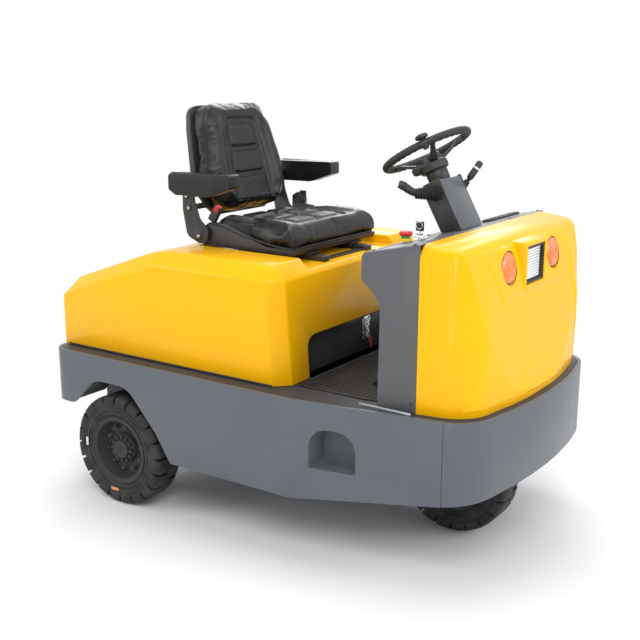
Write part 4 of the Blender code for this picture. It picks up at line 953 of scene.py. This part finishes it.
for side, word in ((-1, "right"), (1, "left")):
    foot = cuboid((-0.030, side * 0.130 - 0.030, 0.8785), (0.050, side * 0.130 + 0.030, 0.8855), 0.0012)
    lug = cuboid((0.030, side * 0.130 - 0.020, 0.868), (0.034, side * 0.130 + 0.020, 0.8855), 0.001)
    dressed(joined([foot, lug]), word + "_rail_bracket", "seat", "trim")
    dressed(joined([screw((0.034, side * 0.130 + dy, 0.876), (1, 0, 0), 0.0042, 0.003) for dy in (-0.011, 0.011)]), word + "_rail_screws", "seat", "steel")
print("seat trimmed")

# hood: a dark bead round its foot as painted shade for the gap between hood and skirt; latch with chain links and a red
# handle

hoodLow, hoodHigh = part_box("rear_hood")

# the soft black bead along the hood's foot is painted shade: it stands in for the shadowed gap between the yellow hood
# and the grey skirt
gapShadeLine = [(hoodLow.x + 0.004, -0.440), (hoodLow.x + 0.010, -0.456), (hoodLow.x + 0.026, -0.4635), (0.120, -0.4635)]
gapShadePoints = [(x, y, 0.5245) for x, y in gapShadeLine] + [(0.120, 0.4635, 0.5245)] + [(x, -y, 0.5245) for x, y in reversed(gapShadeLine[:-1])]
dressed(piped(list(reversed(gapShadePoints[:4])) + [(x, y, z) for x, y, z in reversed(gapShadePoints[4:])], 0.0032), "hood_foot_gap_shade", "hood", "trim", 60)
plate = cuboid((0.1245, 0.050, 0.560), (0.1275, 0.094, 0.640), 0.0008)
hinge = piped([(0.131, 0.054, 0.628), (0.131, 0.090, 0.628)], 0.0036)
toggle = cuboid((0.130, 0.062, 0.566), (0.1335, 0.082, 0.628), 0.0010)
lever = cuboid((0.134, 0.066, 0.548), (0.1375, 0.078, 0.596), 0.0010)
rivets = [screw((0.1275, y, z), (1, 0, 0), 0.0034, 0.002) for y in (0.055, 0.089) for z in (0.567, 0.584, 0.634)]
latch = dressed(joined([plate, hinge, toggle, lever] + rivets), "hood_latch_toggle", "chassis", "chrome")
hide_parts("hood_latch")
bpy.data.objects.remove(shells.pop("hood_latch"))
links = []
for k in range(5):
    clearSelection()
    bpy.ops.mesh.primitive_torus_add(major_radius=0.0068, minor_radius=0.0017, major_segments=20, minor_segments=8, location=(0.1425, 0.058 + 0.001 * (k % 2), 0.622 - k * 0.0105))
    link = bpy.context.object
    link.rotation_euler = (math.radians(90 if k % 2 else 0), math.radians(90), 0)
    link.scale = (1, 0.72, 1)
    settle(link)
    links.append(link)
dressed(joined(links), "latch_chain", "chassis", "chrome", 60)
rodPart = piped([(0.1420, 0.070, 0.598), (0.1425, 0.072, 0.580), (0.1440, 0.075, 0.566)], 0.0026)
dressed(rodPart, "latch_rod", "chassis", "chrome", 60)
handle = piped([(0.1440, 0.075, 0.568), (0.1450, 0.076, 0.552), (0.1455, 0.077, 0.534), (0.1457, 0.0772, 0.530)], 0.0055, sides=4, taper=[0.75, 1.0, 1.0, 0.7])
dressed(handle, "latch_red_grip", "chassis", "redDark", 60)

# column covers, console trim, floor edge strips, riser screws

columnFace = shells["steering_column"]
columnFace.data.materials.append(finishes["skirt"])
for face in columnFace.data.polygons:
    if face.normal.x > 0.5:
        face.material_index = 1
lowC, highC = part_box("steering_column")


def columnHit(x, z, side):  # the column's side at a place
    found = columnFace.ray_cast(Vector((x, side * 0.4, z)), Vector((0, -side, 0)))
    return found[1] if found[0] else None


columnLean = math.atan2(0.489383, 0.872069)
upColumn = Vector((-math.sin(columnLean), 0, math.cos(columnLean)))
acrossColumn = Vector((math.cos(columnLean), 0, math.sin(columnLean)))
for side, word in ((-1, "right"), (1, "left")):
    cover = cuboid((-0.029, -0.0012, -0.082), (0.029, 0.0012, 0.026), 0.0007)
    upper = cuboid((-0.031, -0.0030, 0.030), (0.031, 0.0030, 0.078), 0.0020, 3)
    pair = joined([cover, upper])
    turn = Matrix.Rotation(-columnLean, 4, "Y")
    pair.data.transform(Matrix.Translation((0.4765, side * 0.0722, 1.065)) @ turn)
    dressed(pair, word + "_column_cover", "chassis", "black", 40)
    spot = Vector((0.4765, side * 0.0735, 1.065)) + upColumn * 0.012 + acrossColumn * 0.003
    dressed(screw(spot, (0, side, 0), 0.0036, 0.0022), word + "_column_screw", "chassis", "darkSteel")

for side, word in ((-1, "right"), (1, "left")):
    for index, (x, z) in enumerate(((0.588, 0.548), (0.588, 0.74), (0.588, 0.92))):
        found = shells["dash_console"].ray_cast(Vector((x, side * 0.8, z)), Vector((0, -side, 0)))
        if found[0] and index == 0:
            dressed(screw(found[1], found[2], 0.0040, 0.0022), f"{word}_console_screw", "chassis", "darkSteel")
    foot = cuboid((0.432, side * 0.4575 - 0.0008, 0.5205), (0.602, side * 0.4575 + 0.0008, 0.530), 0.0006)
    dressed(foot, word + "_console_foot", "chassis", "plate")

for name, low, high in (("mat_edge_rear", (0.176, -0.402, 0.5205), (0.183, 0.402, 0.5255)), ("mat_edge_right", (0.176, -0.4045, 0.5205), (0.430, -0.3985, 0.5255)), ("mat_edge_left", (0.176, 0.3985, 0.5205), (0.430, 0.4045, 0.5255))):
    dressed(cuboid(low, high, 0.0012), name, "chassis", "trim")
riserScrews = [screw((0.1242, y, z), (1, 0, 0), 0.0045, 0.0025) for y in (-0.375, -0.13, 0.13, 0.375) for z in (0.540, 0.672)]
dressed(joined(riserScrews), "riser_screws", "chassis", "darkSteel")
print("fittings done")

# floor, light and camera

studio = {"floor": 0.93, "world": 1.0, "camera": (1.939, -2.891, 1.4816), "azimuth": 34.06, "elevation": 13.87, "roll": 0.27, "lens": 58.39}


def seenDirectly(tree):  # 1 where the camera looks, straight on, in a mirror or through glass
    rays = tree.nodes.new("ShaderNodeLightPath")
    kinds = ("Is Camera Ray", "Is Glossy Ray", "Is Transmission Ray")
    straight, mirrored, through = (Value(tree, rays.outputs[kind]) for kind in kinds)
    total = straight + mirrored + through
    return total.mathWith("MINIMUM", total, 1.0)


def paleFloor(name, shade):  # lit near the object, plain white far away
    material, tree, shader = newFinish(name, Roughness=0.75, Specular_IOR_Level=0.1)
    feed(shader, "Base Color", blendOf(tree, noise(tree, 0.8, 2.0) * 0.02, (shade, shade, shade), (shade * 0.97, shade * 0.97, shade * 0.97)))
    parts = split(tree, where(tree))
    reach = (parts[0] * parts[0] + parts[1] * parts[1]).mathWith("SQRT", parts[0] * parts[0] + parts[1] * parts[1])
    seen = seenDirectly(tree)
    glow = tree.nodes.new("ShaderNodeEmission")
    mixed = tree.nodes.new("ShaderNodeMixShader")
    tree.links.new((band(tree, reach, 0.9, 1.9) * seen).socket, mixed.inputs[0])
    tree.links.new(shader.outputs[0], mixed.inputs[1])
    tree.links.new(glow.outputs[0], mixed.inputs[2])
    tree.links.new(mixed.outputs[0], tree.nodes["Material Output"].inputs[0])
    return material


clearSelection()
bpy.ops.mesh.primitive_plane_add(size=60, location=(0, 0, 0))
floor = bpy.context.object
floor.name = "studio_floor"
floor.data.materials.append(paleFloor("paleFloor", studio["floor"]))

world = bpy.data.worlds.new("studioWorld")
scene.world = world
world.use_nodes = True
worldTree = world.node_tree
background = worldTree.nodes["Background"]
seen = seenDirectly(worldTree)
skyShade = addNode(worldTree, "ShaderNodeMix", {"data_type": "RGBA"}, {0: seen, 6: (0.80, 0.82, 0.86, 1), 7: (1, 1, 1, 1)}, 2)
worldTree.links.new(skyShade.socket, background.inputs["Color"])
strength = seen * 0.45 + 0.55
worldTree.links.new(strength.socket, background.inputs["Strength"])

lamps = [  # name, place, aim, width, height, watts
    ("keyLamp", (2.6, -3.6, 4.2), (0.1, 0, 0.6), 2.6, 2.6, 125),
    ("fillLamp", (-3.4, -3.2, 2.6), (-0.2, 0, 0.6), 2.4, 2.4, 60),
    ("topLamp", (-0.4, 0.6, 4.6), (0, 0, 0.6), 3.0, 3.0, 90),
    ("frontLamp", (4.2, 0.8, 2.2), (0.4, 0, 0.6), 2.0, 2.2, 60),
    ("deckLamp", (1.3, -3.4, 1.0), (0.1, 0, 0.6), 1.6, 1.0, 8),
    ("backLamp", (-2.0, 4.0, 3.0), (0, 0, 0.7), 2.4, 2.0, 60),
]
for lampName, place, aim, wide, tall, watts in lamps:
    clearSelection()
    bpy.ops.object.light_add(type="AREA", location=place)
    lamp = bpy.context.object
    lamp.name = lampName
    lamp.data.shape = "RECTANGLE"
    lamp.data.size = wide
    lamp.data.size_y = tall
    lamp.data.energy = watts
    lamp.rotation_euler = (Vector(aim) - Vector(place)).to_track_quat("-Z", "Y").to_euler()

azimuth, elevation, roll = (math.radians(studio[k]) for k in ("azimuth", "elevation", "roll"))
back = Vector((math.sin(azimuth) * math.cos(elevation), -math.cos(azimuth) * math.cos(elevation), math.sin(elevation)))
right = Vector((0, 0, 1)).cross(back).normalized()
up = back.cross(right)
acrossFrame = math.cos(roll) * right + math.sin(roll) * up
upFrame = -math.sin(roll) * right + math.cos(roll) * up
camera = bpy.data.objects.new("studioCamera", bpy.data.cameras.new("studioCamera"))
scene.collection.objects.link(camera)
camera.data.lens = studio["lens"]
camera.matrix_world = Matrix.Translation(studio["camera"]) @ Matrix((acrossFrame, upFrame, back)).transposed().to_4x4()
scene.camera = camera
scene.view_settings.view_transform = "Standard"
print("stage set")
